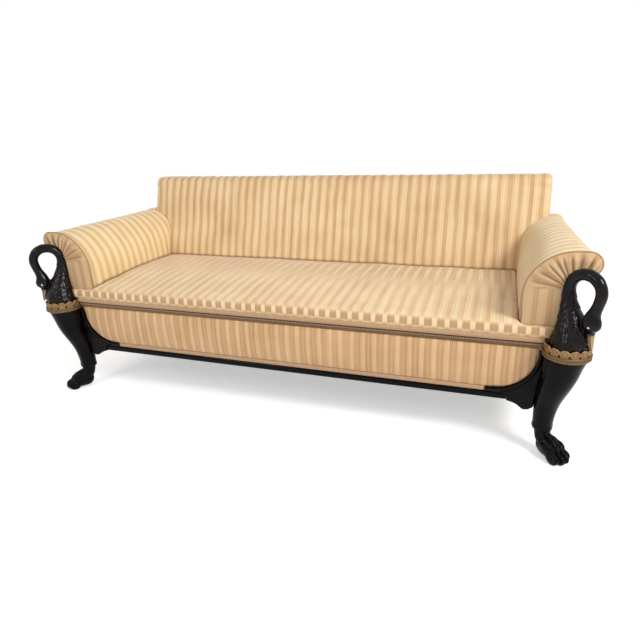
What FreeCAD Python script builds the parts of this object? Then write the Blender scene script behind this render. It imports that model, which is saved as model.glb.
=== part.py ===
import FreeCAD, Part
import math
import os
from FreeCAD import Matrix, Vector

# Carved sofa with swan-neck corners, in millimetres.
# The front faces -Y, +X is the viewer's right, and Z = 0 is the floor.

# Overall sizes
SEAT_HALF_WIDTH = 888.0      # middle of the seat to the inside of an arm
ARM_WIDTH = 134.0            # inside to outside of an arm, below the roll
ARM_TOP = 725.0              # top of the arm roll at the front
ARM_RISE = 0.023             # how much the arm climbs per millimetre towards the back
BACK_INSET = 20.0            # end of the back inside the outside of an arm
BACK_TOP = 900.0
SEAT_DEPTH = 580.0           # front plane to the back pad, at seat height
FRONT_AHEAD = 44.0           # front plane ahead of the middle of that depth
SEAT_LINE = 517.0            # height where seat and back meet
BACK_LEAN = 17.6             # degrees

# Fits
FIT = 0.3                    # between soft or curved faces
HOLE_FIT = 0.2               # round pegs, tenons and screws
BEYOND = 1500.0              # past every face of the sofa, for trimming

# Seat frame
RAIL_BOTTOM = 214.0
RAIL_TOP = 398.0
RAIL_THICK = 30.0
TENON_THICK = 12.0
TENON_LONG = 26.0
TENON_SHOULDER = 30.0
REAR_TENON_LONG = 12.0
ARM_TENON_WIDE = 44.0
UPRIGHT_SHOULDER = 12.0
CROSS_SHOULDER = 6.0
BRACE_THICK = 25.0
BRACE_HIGH = 60.0
BRACE_LIFT = 26.0
BLOCK_LEG = 75.0
BLOCK_HIGH = 80.0
SCREW_RADIUS = 2.5
SCREW_LONG = 62.0
SCREW_PITCH = 40.0
DOWEL_RADIUS = 6.0
DOWEL_LONG = 56.0
DOWEL_IN_RAIL = 24.0
DOWEL_EDGE = 12.0             # middle of a dowel to the end of the front rail
DOWEL_HEIGHTS = (292.0, 350.0)

# Front edge of the seat
MOULDING_BOTTOM = 186.0
MOULDING_PROUD = 8.0
MOULDING_DEEP = 22.0
SIDE_BEAD_ROUND = 6.0
WELT_HIGH = 18.0             # plain band over the moulding
PANEL_THICK = 10.0
PANEL_INSET = 62.0           # end of the panel inside the outside of an arm
PANEL_CORNER = 140.0         # radius of the panel's lower corners
PANEL_TOP = 400.0
BRAID_HIGH = 17.0
BRAID_THICK = 4.0
SEAT_WELT_HIGH = 21.0
SEAT_PROUD = 20.0            # rolled edge in front of the front plane
SEAT_FRONT_TOP = 488.0
SEAT_CROWN = 10.0
SEAT_DROP = 8.0              # seat lower than the seat line at the back
EDGE_PROUD = 8.0             # stuffed edge behind braid and welt, in front of the front plane
WELT_PROUD = 2.0
WELT_ROUND = 8.0
SEAT_ROLL = 26.0
EAR_REACH = 28.0             # the seat's ears past the inner edge of the collars
EAR_BULGE = 2.0              # rounding of an ear's upper edge
TRIM_SHORT = 8.0             # braid and welt stop short of the seat's ears

# Sprung seat
WEB_THICK = 2.5
WEB_WIDTH = 50.0
WEB_SHORT = 6.0              # strap ends inside the edge they are tacked to
WEB_CROSS_COUNT = 12
WEB_LONG_COUNT = 5
SPRING_COLUMNS = 8
SPRING_ROWS = 3
SPRING_SPAN_X = 1600.0
SPRING_SPAN_Y = 360.0
SPRING_RADIUS = 42.0
SPRING_WIRE = 2.2
SPRING_TURNS = 5
SPRING_STEPS = 8             # sections that shape each turn of the wire
SPRING_SIDES = 8             # sides of the drawn wire
HESSIAN_THICK = 2.0
DUST_THICK = 1.5

# Arms: each pair is the size at the front and at the rear end of the roll
ARM_BEHIND = 100.0            # rear end of the arm behind the foot of the back pad
ROLL_RADIUS = (157.0, 136.0)  # inside of the arm, up to its top
LIP_OUT = (50.0, 5.0)         # middle of the outer lip past the outside of the arm
LIP_RADIUS = (40.0, 30.0)
ARM_PAD = 17.0
ARM_PAD_BOTTOM = 430.0
FACING_THICK = 8.0
FACING_BOTTOM = 404.0        # foot of the facing, behind the seat's ears
PIPING_BOTTOM = 490.0
FACING_INSET = 4.0
PIPING_RADIUS = 3.7
ARM_BOARD = 25.0
SPIGOT_RADIUS = 9.0
SPIGOT_LONG = 18.0
SCROLL_SEAT = 6.0            # how much of the rail the rear board takes in
STUFFING_RAIL = 28.0
COVER_THICK = 3.0
ARM_STRAPS = 5

# Back
BACK_PAD = 45.0              # thickness, measured front to back
BACK_PAD_BOTTOM = 402.0
BACK_ROLL = 46.0             # front edge of the top
BACK_ROLL_HIGH = 55.0
ROLL_IN = 0.36               # the roll's middle point, as shares of the roll
ROLL_DOWN = 0.24
BACK_REAR_ROUND = 10.0
COVER_LOW = 14.0             # top of the rear cloth under the top of the back
POST_WIDTH = 40.0
POST_INSET = 4.0             # back post inside the end of the back
POST_DEEP = 30.0
POST_SEAT_DEEP = 38.0
REAR_RAIL_SET = 2.0          # back seat rail behind the front of the posts
REAR_BOARD_GAP = 6.0         # rear arm board to the foot of the back pad
POST_LOW = 27.0              # top of the posts under the top of the back
BACK_RAIL_HIGH = 50.0
BACK_LOWER_RAIL_Z = 440.0
UPRIGHT_X = 330.0
UPRIGHT_WIDE = 60.0
REAR_FOOT_SPLAY = 72.0
REAR_FOOT_DEEP = 32.0
FOOT_WAIST = 0.45            # height of the curve's middle, as a share of the leg
FOOT_SWEEP = 0.28            # how far the curve has gone out there, as a share of the splay
BACK_STRAPS = 9

# Carved corners: s runs out along the corner's diagonal, t across it
CORNER_INSET = 10.0          # middle of the corner inside the outside of an arm
CORNER_BEHIND = 3.0          # middle of the corner behind the front plane
CORNER_TURN = 42.0           # degrees the swans and paws face outwards
LEG_TOP = 395.0
PEG_RADIUS = 15.0
PEG_LONG = 55.0
COLLAR_BOTTOM = 388.0
COLLAR_BAND = 20.0
COLLAR_TOP = 434.0
COLLAR_WALL = 5.0
COLLAR_BEAD = 4.0
COLLAR_SCALLOPS = 14
COLLAR_OVERLAP = 1.06        # how far neighbouring scallops run into each other
EYE_RADIUS = 4.6
OVAL_POINTS = 12             # points that shape each carved section

# Leg sections: s, t, height, radius
LEG_SECTIONS = (
    (43.5, -6.0, LEG_TOP, 66.0),
    (43.0, -6.5, LEG_TOP - 12.0, 65.6),
    (39.0, -9.0, 360.0, 63.0),
    (34.0, -12.0, 320.0, 58.0),
    (26.5, -15.0, 280.0, 52.2),
    (15.0, -16.0, 240.0, 46.5),
    (4.5, -17.0, 200.0, 41.0),
    (-0.5, -19.0, 160.0, 36.8),
    (-1.8, -20.0, 125.0, 34.0),
    (-2.0, -20.0, 105.0, 31.8),
    (-1.0, -20.0, 90.0, 27.5),
    (3.0, -20.0, 72.0, 26.5),
    (10.0, -20.0, 52.0, 25.5),
    (15.0, -20.0, 34.0, 21.0),
)
SEAT_LEVEL_SECTION = 6       # the leg section at the height of the seat moulding
# Paw sections: s, height of the middle, half height, half width
PAW_T = -20.0
PAW_SECTIONS = (
    (-12.0, 42.0, 10.0, 9.0),
    (-3.0, 39.0, 26.0, 20.0),
    (10.0, 39.0, 35.5, 25.0),
    (26.0, 41.0, 39.5, 31.5),
    (46.0, 38.0, 37.0, 35.5),
    (66.0, 29.0, 28.0, 37.0),
    (80.0, 20.0, 17.0, 32.0),
)
# Knuckles and toes: offset across the paw, s of the middle
KNUCKLES = ((-26.0, 58.0), (-9.0, 66.0), (9.0, 67.0), (26.0, 60.0))
KNUCKLE_SIZE = (18.0, 10.0, 14.0)
KNUCKLE_HEIGHT = 48.0
TOES = ((-29.0, 72.0), (-10.0, 84.0), (10.0, 85.0), (29.0, 75.0))
TOE_SIZE = (26.0, 10.5, 22.0)
TOE_HEIGHT = 20.0

# Breast and rising neck: s, t, height, half width along s, half width across
BREAST_SECTIONS = (
    (43.5, -6.0, LEG_TOP, 65.5, 65.5),
    (47.0, -5.0, 430.0, 61.0, 62.5),
    (48.5, -3.0, 460.0, 57.0, 58.0),
    (45.0, -1.0, 490.0, 48.5, 49.0),
    (38.0, 0.0, 520.0, 39.5, 40.0),
    (28.0, 1.0, 550.0, 29.5, 31.0),
    (20.5, 2.0, 580.0, 22.5, 24.0),
    (17.0, 2.0, 607.0, 19.5, 20.5),
)
# The bend of the neck is an arc round this point
NECK_T = 2.0
BEND_S = 70.5
BEND_Z = 612.0
BEND_RADIUS = 53.5
BEND_STEP = 15               # degrees between the sections round the bend
NECK_RADIUS = 19.0
NECK_END_RADIUS = 18.0
# Falling neck and head: s, height, lean of the section, half width along s, half width across
HEAD_SECTIONS = (
    (120.5, 588.0, 98.0, 17.5, 17.5),
    (114.0, 566.0, 106.0, 17.5, 17.5),
    (107.0, 545.0, 104.0, 20.0, 19.5),
    (104.5, 525.0, 92.0, 26.0, 22.5),
    (106.0, 508.0, 86.0, 27.0, 22.0),
    (109.0, 496.0, 80.0, 19.0, 16.0),
    (110.0, 491.0, 80.0, 11.0, 11.0),
)
# Beak: s, height, half thickness, half width
BEAK_SECTIONS = (
    (109.5, 498.0, 11.0, 12.0),
    (112.0, 480.0, 9.0, 12.0),
    (115.5, 458.0, 6.0, 11.5),
    (118.0, 440.0, 4.0, 10.5),
    (118.5, 432.0, 2.5, 7.5),
)
EYE_S = 111.0
EYE_Z = 511.5
EYE_OUT = 19.5               # middle of an eye from the middle of the head

# Wing bracket
BRACKET_TIP = 165.0          # these run in from the end of the panel
BRACKET_STEP = 90.0
LOBE_LEFT = 46.0
LOBE_RIGHT = 5.0
BRACKET_PROUD = 14.0
BRACKET_OUT = 25.0           # bracket past the end of the panel, under the leg
LOBE_TOP = 170.0
BRACKET_SAG = 11.0           # rise of the curve beside the lobe
LOBE_BOTTOM = 159.0

# Worked-out places
FRONT_Y = -SEAT_DEPTH / 2 - FRONT_AHEAD  # front plane of the seat rail and the arm facings
ARM_OUTSIDE = SEAT_HALF_WIDTH + ARM_WIDTH
ARM_LENGTH = SEAT_DEPTH + ARM_BEHIND
LIP_X = [ARM_OUTSIDE + out for out in LIP_OUT]
CORNER_X = ARM_OUTSIDE - CORNER_INSET
CORNER_Y = FRONT_Y + CORNER_BEHIND
PANEL_HALF_WIDTH = ARM_OUTSIDE - PANEL_INSET
BRACKET_TIP_X = PANEL_HALF_WIDTH - BRACKET_TIP
BRACKET_STEP_X = PANEL_HALF_WIDTH - BRACKET_STEP
POST_TOP = BACK_TOP - POST_LOW
BACK_HALF_WIDTH = ARM_OUTSIDE - BACK_INSET
POST_OUTSIDE = BACK_HALF_WIDTH - POST_INSET
RAIL_BACK_Y = FRONT_Y + RAIL_THICK
RAIL_HALF = ARM_OUTSIDE - COVER_THICK
SIDE_RAIL_OUT = ARM_OUTSIDE - ARM_PAD
SIDE_RAIL_IN = SIDE_RAIL_OUT - RAIL_THICK
SEAT_BACK_Y = FRONT_Y + SEAT_DEPTH
SLOPE = math.tan(math.radians(BACK_LEAN))
ARM_FRONT_Y = FRONT_Y + FACING_THICK
PANEL_BOTTOM = RAIL_BOTTOM + WELT_HIGH
DOWEL_X = RAIL_HALF - DOWEL_EDGE


def back_face(z):
    """Front face of the back pad at a height."""
    return SEAT_BACK_Y + (z - SEAT_LINE) * SLOPE


POST_FRONT = back_face(RAIL_TOP) + BACK_PAD + WEB_THICK
REAR_RAIL_Y = POST_FRONT + REAR_RAIL_SET
REAR_BOARD_Y = back_face(BACK_PAD_BOTTOM) - REAR_BOARD_GAP - ARM_BOARD


def box(x0, x1, y0, y1, z0, z1):
    return Part.makeBox(x1 - x0, y1 - y0, z1 - z0, Vector(x0, y0, z0))


def rod(start, end, radius):
    along = end - start
    return Part.makeCylinder(radius, along.Length, start, along)


def edges(start, steps, place):
    """Edges through the steps: a point is a line's end, a pair is an arc's middle and end."""
    made = []
    here = start
    for step in steps:
        if isinstance(step[0], tuple):
            middle, end = step
            made.append(Part.Arc(place(*here), place(*middle), place(*end)).toShape())
        else:
            end = step
            made.append(Part.LineSegment(place(*here), place(*end)).toShape())
        here = end
    return made


def face(start, steps, place):
    """Flat face inside the steps; a last line closes it unless an arc already does."""
    last = steps[-1]
    end = last[1] if isinstance(last[0], tuple) else last
    closing = () if end == start else (start,)
    return Part.Face(Part.Wire(edges(start, steps + closing, place)))


def front_plane(y):
    return lambda x, z: Vector(x, y, z)


def side_plane(x):
    return lambda y, z: Vector(x, y, z)


def on_arc(centre_x, centre_z, radius, degrees):
    angle = math.radians(degrees)
    return (centre_x + radius * math.cos(angle), centre_z + radius * math.sin(angle))


def mirrored(shape):
    return shape.mirror(Vector(0, 0, 0), Vector(1, 0, 0))


def compound(shapes):
    return Part.makeCompound(list(shapes))


def fused(shapes):
    whole = shapes[0].multiFuse(list(shapes[1:]))
    return whole.removeSplitter()


def corner(s, t, z):
    turn = math.radians(CORNER_TURN)
    x = CORNER_X + s * math.cos(turn) + t * math.sin(turn)
    y = CORNER_Y - s * math.sin(turn) + t * math.cos(turn)
    return Vector(x, y, z)


def corner_axis(s, t, z):
    return corner(s, t, z) - corner(0, 0, 0)


def oval(centre, first, second):
    """Closed smooth oval through points on its two half axes and between them."""
    points = []
    for i in range(OVAL_POINTS):
        angle = 2 * math.pi * i / OVAL_POINTS
        points.append(centre + first * math.cos(angle) + second * math.sin(angle))
    curve = Part.BSplineCurve()
    curve.interpolate(points, PeriodicFlag=True)
    return Part.Wire(curve.toShape())


def level_oval(s, t, z, along, across):
    return oval(corner(s, t, z), corner_axis(along, 0, 0), corner_axis(0, across, 0))


def upright_oval(s, t, z, high, wide):
    return oval(corner(s, t, z), corner_axis(0, wide, 0), Vector(0, 0, high))


def leaning_oval(s, t, z, lean, along, across):
    """Section of the neck, square to a path that runs at the lean, in degrees from level."""
    angle = math.radians(lean)
    first = corner_axis(math.sin(angle), 0, 0) - Vector(0, 0, math.cos(angle))
    return oval(corner(s, t, z), first * along, corner_axis(0, across, 0))


def ellipsoid(s, t, z, size):
    first = corner_axis(size[0], 0, 0)
    second = corner_axis(0, size[1], 0)
    centre = corner(s, t, z)
    matrix = Matrix(
        first.x, second.x, 0, centre.x,
        first.y, second.y, 0, centre.y,
        0, 0, size[2], centre.z,
        0, 0, 0, 1,
    )
    return Part.makeSphere(1).transformGeometry(matrix)


def loft(wires):
    return Part.makeLoft(wires, True, False)


def leg_core(grow=0.0):
    return loft([level_oval(s, t, z, r + grow, r + grow) for s, t, z, r in LEG_SECTIONS])


def arm_room():
    """Room of the seat rail and the arm, which the carved corner is rebated round."""
    start, steps = arm_outline(ARM_FRONT_Y, -PIPING_RADIUS - FIT, RAIL_BOTTOM - FIT)
    return face(start, steps, front_plane(FRONT_Y - HOLE_FIT)).extrude(Vector(0, ARM_WIDTH, 0))


def leg_dowel(height):
    start = Vector(DOWEL_X, FRONT_Y + DOWEL_IN_RAIL, height)
    return start, start - Vector(0, DOWEL_LONG, 0)


def front_leg():
    foot = loft([upright_oval(s, PAW_T, z, high, wide) for s, z, high, wide in PAW_SECTIONS])
    pieces = [leg_core(), foot]
    for offset, s in KNUCKLES:
        pieces.append(ellipsoid(s, PAW_T + offset, KNUCKLE_HEIGHT, KNUCKLE_SIZE))
    for offset, s in TOES:
        pieces.append(ellipsoid(s, PAW_T + offset, TOE_HEIGHT, TOE_SIZE))
    whole = fused(pieces)
    whole = whole.cut(box(0, BEYOND, -BEYOND, BEYOND, -BEYOND, 0))
    whole = whole.cut(arm_room())
    top_s, top_t = LEG_SECTIONS[0][:2]
    peg_foot = corner(top_s, top_t, LEG_TOP - PEG_LONG - HOLE_FIT)
    whole = whole.cut(rod(peg_foot, corner(top_s, top_t, LEG_TOP + 1), PEG_RADIUS + HOLE_FIT))
    for height in DOWEL_HEIGHTS:
        start, end = leg_dowel(height)
        whole = whole.cut(rod(start, end - Vector(0, HOLE_FIT, 0), DOWEL_RADIUS + HOLE_FIT))
    return whole


def neck_section(degrees, radius):
    s, z = on_arc(BEND_S, BEND_Z, BEND_RADIUS, degrees)
    return leaning_oval(s, NECK_T, z, degrees - 90, radius, radius)


def swan():
    rising = [level_oval(*section) for section in BREAST_SECTIONS]
    rising += [neck_section(a, NECK_RADIUS) for a in range(150, 89, -BEND_STEP)]
    falling = [neck_section(a, NECK_RADIUS) for a in range(90, 44, -BEND_STEP)]
    falling += [neck_section(a, NECK_END_RADIUS) for a in range(30, -1, -BEND_STEP)]
    falling += [
        leaning_oval(s, NECK_T, z, -lean, *halves) for s, z, lean, *halves in HEAD_SECTIONS
    ]
    beak = loft([level_oval(s, NECK_T, *section) for s, *section in BEAK_SECTIONS])
    foot_s, foot_t = BREAST_SECTIONS[0][:2]
    peg_foot = corner(foot_s, foot_t, LEG_TOP - PEG_LONG)
    peg = rod(peg_foot, peg_foot + Vector(0, 0, PEG_LONG + PEG_RADIUS), PEG_RADIUS)
    whole = fused([loft(rising), loft(falling), beak, peg])
    whole = whole.cut(arm_room())
    for side in (-1, 1):
        whole = whole.cut(eye(side, FIT))
    return whole


def eye(side, gap=0.0):
    middle = corner(EYE_S, NECK_T + side * EYE_OUT, EYE_Z)
    return Part.makeSphere(EYE_RADIUS + gap, middle, corner_axis(0, side, 0))


def collar():
    """Ring of a ribbed band under a gallery of scallops, open where it meets the frame."""
    s, t, _, radius = LEG_SECTIONS[0]
    inner = radius + FIT
    outer = inner + COLLAR_WALL
    band_top = COLLAR_BOTTOM + COLLAR_BAND
    rib = COLLAR_BAND / 2
    proud = outer + COLLAR_BEAD
    ribs = []
    for low in (COLLAR_BOTTOM, COLLAR_BOTTOM + rib):
        ribs += [((proud, low + rib / 2), (outer, low + rib))]
    profile = face((inner, COLLAR_BOTTOM), ((outer, COLLAR_BOTTOM), *ribs, (inner, band_top)),
                   front_plane(0))
    band = profile.revolve(Vector(0, 0, 0), Vector(0, 0, 1), 360)
    wall = Part.makeCylinder(outer, COLLAR_TOP - band_top, Vector(0, 0, band_top))
    wall = wall.cut(Part.makeCylinder(inner, COLLAR_TOP - band_top, Vector(0, 0, band_top)))
    pitch = 2 * math.pi / COLLAR_SCALLOPS
    disc = math.sin(pitch / 2) * outer * COLLAR_OVERLAP
    centre = Vector(0, 0, COLLAR_TOP - disc)
    petals = []
    for i in range(COLLAR_SCALLOPS):
        out = Vector(math.cos(i * pitch), math.sin(i * pitch), 0)
        petals.append(rod(centre + out * (inner - disc), centre + out * (outer + disc), disc))
    gallery = wall.common(petals[0].multiFuse(petals[1:]))
    whole = fused([band, gallery])
    whole.translate(corner(s, t, 0))
    return whole.cut(arm_room())


def collar_edge():
    """Middle of the collar in plan, and the radius that stays clear of it."""
    s, t, _, radius = LEG_SECTIONS[0]
    return corner(s, t, 0), radius + COLLAR_WALL + COLLAR_BEAD + 2 * FIT


def ear_end():
    """Where the seat's edge trimmings stop, just clear of the collars."""
    middle, radius = collar_edge()
    return middle.x - radius


def corner_room():
    """Upright room of the collar, which the seat's ears are fitted round."""
    middle, radius = collar_edge()
    return Part.makeCylinder(radius, BEYOND, middle)


def wing_bracket():
    """Carved bracket under the panel's rounded corner; its foot hooks under the seat rail."""
    arc_x = PANEL_HALF_WIDTH - PANEL_CORNER
    arc_z = PANEL_BOTTOM + PANEL_CORNER
    curve = PANEL_CORNER + FIT
    inner = PANEL_HALF_WIDTH + BRACKET_OUT
    left = PANEL_HALF_WIDTH - LOBE_LEFT
    right = PANEL_HALF_WIDTH - LOBE_RIGHT
    lower = (
        (inner, LOBE_TOP),
        (right, LOBE_TOP),
        (((left + right) / 2, LOBE_BOTTOM), (left, LOBE_TOP)),
        (((left + BRACKET_STEP_X) / 2, LOBE_TOP + BRACKET_SAG), (BRACKET_STEP_X, MOULDING_BOTTOM)),
    )
    plate = face(
        (BRACKET_TIP_X, PANEL_BOTTOM - FIT),
        (
            (arc_x, PANEL_BOTTOM - FIT),
            (on_arc(arc_x, arc_z, curve, -45), (arc_x + curve, arc_z)),
            (arc_x + curve, COLLAR_BOTTOM - FIT),
            (inner, COLLAR_BOTTOM - FIT),
            *lower,
            (BRACKET_STEP_X, RAIL_BOTTOM + FIT),
            (BRACKET_TIP_X, RAIL_BOTTOM + FIT),
        ),
        front_plane(FRONT_Y - BRACKET_PROUD),
    ).extrude(Vector(0, BRACKET_PROUD, 0))
    foot = face(
        (BRACKET_STEP_X, RAIL_BOTTOM),
        ((inner, RAIL_BOTTOM), *lower),
        front_plane(FRONT_Y - BRACKET_PROUD),
    ).extrude(Vector(0, BRACKET_PROUD + RAIL_THICK, 0))
    whole = fused([plate, foot]).cut(leg_core(FIT))
    return min(whole.Solids, key=lambda solid: solid.BoundBox.XMin)


def swan_eyes():
    eyes = [eye(-1), eye(1)]
    return compound(eyes + [mirrored(ball) for ball in eyes])


def leg_dowels():
    pegs = [rod(*leg_dowel(height), DOWEL_RADIUS) for height in DOWEL_HEIGHTS]
    return compound(pegs + [mirrored(peg) for peg in pegs])


def tenon_z():
    return RAIL_BOTTOM + TENON_SHOULDER, RAIL_TOP - TENON_SHOULDER


def side_rail_front_tenon(gap=0.0):
    low, high = tenon_z()
    middle = (SIDE_RAIL_IN + SIDE_RAIL_OUT) / 2
    half = TENON_THICK / 2 + gap
    return box(middle - half, middle + half, RAIL_BACK_Y - TENON_LONG - gap, RAIL_BACK_Y,
               low - gap, high + gap)


def side_rail_rear_tenon(gap=0.0):
    low, high = tenon_z()
    middle = (SIDE_RAIL_IN + SIDE_RAIL_OUT) / 2
    half = TENON_THICK / 2 + gap
    return box(middle - half, middle + half, POST_FRONT, POST_FRONT + TENON_LONG + gap,
               low - gap, high + gap)


def rear_rail_tenon(gap=0.0):
    low = tenon_z()[0]
    middle = REAR_RAIL_Y + RAIL_THICK / 2
    half = TENON_THICK / 2 + gap
    inside = POST_OUTSIDE - POST_WIDTH
    return box(inside - 1, inside + REAR_TENON_LONG + gap, middle - half, middle + half,
               RAIL_BOTTOM + CROSS_SHOULDER - gap, low - CROSS_SHOULDER + gap)


def arm_front_tenon(gap=0.0):
    low_x = SEAT_HALF_WIDTH + ARM_PAD + TENON_SHOULDER
    middle = (ARM_FRONT_Y + RAIL_BACK_Y) / 2
    half = TENON_THICK / 2 + gap
    return box(low_x - gap, low_x + ARM_TENON_WIDE + gap, middle - half, middle + half,
               RAIL_TOP - TENON_LONG - gap, RAIL_TOP + 1)


def arm_rear_tenon(gap=0.0):
    middle = (SIDE_RAIL_IN + SIDE_RAIL_OUT) / 2
    half = TENON_THICK / 2 + gap
    centre = REAR_BOARD_Y + ARM_BOARD / 2
    return box(middle - half, middle + half, centre - half, centre + half,
               RAIL_TOP - TENON_LONG - gap, RAIL_TOP + 1)


def front_seat_rail():
    board = box(-RAIL_HALF, RAIL_HALF, FRONT_Y, RAIL_BACK_Y, RAIL_BOTTOM, RAIL_TOP)
    cuts = [side_rail_front_tenon(HOLE_FIT), arm_front_tenon(HOLE_FIT)]
    for height in DOWEL_HEIGHTS:
        start, end = leg_dowel(height)
        cuts.append(rod(start + Vector(0, HOLE_FIT, 0), end, DOWEL_RADIUS + HOLE_FIT))
    for cut in cuts:
        board = board.cut(cut).cut(mirrored(cut))
    for screw in block_screws(HOLE_FIT):
        board = board.cut(screw)
    return board


def side_seat_rail():
    board = box(SIDE_RAIL_IN, SIDE_RAIL_OUT, RAIL_BACK_Y, POST_FRONT, RAIL_BOTTOM, RAIL_TOP)
    board = fused([board, side_rail_front_tenon(), side_rail_rear_tenon()])
    for cut in (arm_rear_tenon(HOLE_FIT), *block_screws(HOLE_FIT)):
        board = board.cut(cut)
    return board


def back_seat_rail():
    inside = POST_OUTSIDE - POST_WIDTH
    board = box(-inside, inside, REAR_RAIL_Y, REAR_RAIL_Y + RAIL_THICK, RAIL_BOTTOM, RAIL_TOP)
    board = fused([board, rear_rail_tenon(), mirrored(rear_rail_tenon())])
    for screw in block_screws(HOLE_FIT):
        board = board.cut(screw)
    return board


def seat_braces():
    low = RAIL_BOTTOM + BRACE_LIFT
    middle = SPRING_SPAN_X / (SPRING_COLUMNS - 1)
    brace = box(middle - BRACE_THICK / 2, middle + BRACE_THICK / 2, RAIL_BACK_Y, REAR_RAIL_Y,
                low, low + BRACE_HIGH)
    return compound([mirrored(brace), brace])


def block_corners():
    """Inner corner of each right-hand block, with the way it opens along X and Y."""
    inside = POST_OUTSIDE - POST_WIDTH
    return ((SIDE_RAIL_IN, RAIL_BACK_Y, 1), (inside, REAR_RAIL_Y, -1))


def block_screws(gap=0.0):
    """Two screws for each corner block, with their heads flush in the block's slant."""
    screws = []
    middle = (RAIL_BOTTOM + RAIL_TOP) / 2
    for x, y, way in block_corners():
        for height in (middle - SCREW_PITCH / 2, middle + SCREW_PITCH / 2):
            toward_side = height < middle
            start = Vector(x - BLOCK_LEG / 2, y + way * BLOCK_LEG / 2, height)
            along = Vector(1, 0, 0) if toward_side else Vector(0, -way, 0)
            end = start + along * SCREW_LONG
            shank = rod(start, end + along * gap, SCREW_RADIUS + gap)
            screws += [shank, mirrored(shank)]
    return screws


def corner_blocks():
    middle = (RAIL_BOTTOM + RAIL_TOP) / 2
    low = middle - BLOCK_HIGH / 2
    blocks = []
    for x, y, way in block_corners():
        plan = face((x, y), ((x - BLOCK_LEG, y), (x, y + way * BLOCK_LEG)),
                    lambda a, b: Vector(a, b, low))
        block = plan.extrude(Vector(0, 0, BLOCK_HIGH))
        blocks += [block, mirrored(block)]
    for screw in block_screws(HOLE_FIT):
        blocks = [block.cut(screw) for block in blocks]
    return compound(blocks)


def leaning_board(x0, x1, z0, z1, front, rear):
    """Board that follows the lean of the back, between two depths behind the pad's face."""
    outline = face(
        (back_face(z0) + front, z0),
        ((back_face(z0) + rear, z0), (back_face(z1) + rear, z1), (back_face(z1) + front, z1)),
        side_plane(x0),
    )
    return outline.extrude(Vector(x1 - x0, 0, 0))


BACK_FRAME_FRONT = BACK_PAD + WEB_THICK
BACK_FRAME_REAR = BACK_FRAME_FRONT + POST_DEEP


def back_cross_rails():
    inside = POST_OUTSIDE - POST_WIDTH
    top = (POST_TOP - BACK_RAIL_HIGH, POST_TOP)
    lower = (BACK_LOWER_RAIL_Z, BACK_LOWER_RAIL_Z + BACK_RAIL_HIGH)
    return inside, top, lower


def back_tenon(z0, z1, gap=0.0):
    inside = back_cross_rails()[0]
    third = POST_DEEP / 3
    return leaning_board(inside - 1, inside + TENON_LONG + gap,
                         z0 + CROSS_SHOULDER - gap, z1 - CROSS_SHOULDER + gap,
                         BACK_FRAME_FRONT + third - gap, BACK_FRAME_REAR - third + gap)


def upright_tenon(z0, z1, gap=0.0):
    third = POST_DEEP / 3
    narrow = UPRIGHT_WIDE / 2 - UPRIGHT_SHOULDER + gap
    return leaning_board(UPRIGHT_X - narrow, UPRIGHT_X + narrow, z0 - gap, z1 + gap,
                         BACK_FRAME_FRONT + third - gap, BACK_FRAME_REAR - third + gap)


def back_rail(which):
    inside, top, lower = back_cross_rails()
    z0, z1 = top if which == "top" else lower
    board = leaning_board(-inside, inside, z0, z1, BACK_FRAME_FRONT, BACK_FRAME_REAR)
    tenon = back_tenon(z0, z1)
    board = fused([board, tenon, mirrored(tenon)])
    slot = upright_tenon(lower[1] - TENON_LONG, top[0] + TENON_LONG, HOLE_FIT)
    return board.cut(slot).cut(mirrored(slot))


def back_upright():
    _, top, lower = back_cross_rails()
    half = UPRIGHT_WIDE / 2
    board = leaning_board(UPRIGHT_X - half, UPRIGHT_X + half, lower[1], top[0],
                          BACK_FRAME_FRONT, BACK_FRAME_REAR)
    return fused([board, upright_tenon(lower[1] - TENON_LONG, top[0] + TENON_LONG)])


def back_post():
    """Post that leans with the back and sweeps out below the seat as the rear leg."""
    seat_rear = POST_FRONT + POST_SEAT_DEEP
    bend = RAIL_TOP + (seat_rear - back_face(RAIL_TOP) - BACK_FRAME_REAR) / SLOPE
    foot_front = POST_FRONT + REAR_FOOT_SPLAY
    foot_rear = foot_front + REAR_FOOT_DEEP
    waist = RAIL_BOTTOM * FOOT_WAIST
    sweep = REAR_FOOT_SPLAY * FOOT_SWEEP
    outline = face(
        (foot_front, 0),
        (
            (foot_rear, 0),
            ((seat_rear + sweep, waist), (seat_rear, RAIL_BOTTOM)),
            (seat_rear, bend),
            (back_face(POST_TOP) + BACK_FRAME_REAR, POST_TOP),
            (back_face(POST_TOP) + BACK_FRAME_FRONT, POST_TOP),
            (POST_FRONT, RAIL_TOP),
            (POST_FRONT, RAIL_BOTTOM),
            ((POST_FRONT + sweep, waist), (foot_front, 0)),
        ),
        side_plane(POST_OUTSIDE - POST_WIDTH),
    )
    post = outline.extrude(Vector(POST_WIDTH, 0, 0))
    cuts = [side_rail_rear_tenon(HOLE_FIT), rear_rail_tenon(HOLE_FIT)]
    for z0, z1 in back_cross_rails()[1:]:
        cuts.append(back_tenon(z0, z1, HOLE_FIT))
    for cut in cuts + block_screws(HOLE_FIT):
        post = post.cut(cut)
    return post


def arm_sizes(y):
    """Roll radius, lip radius, lip middle and top of the arm at a depth."""
    share = (y - ARM_FRONT_Y) / ARM_LENGTH
    sizes = [front + (rear - front) * share for front, rear in (ROLL_RADIUS, LIP_RADIUS, LIP_X)]
    return (*sizes, ARM_TOP + (y - ARM_FRONT_Y) * ARM_RISE)


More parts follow.
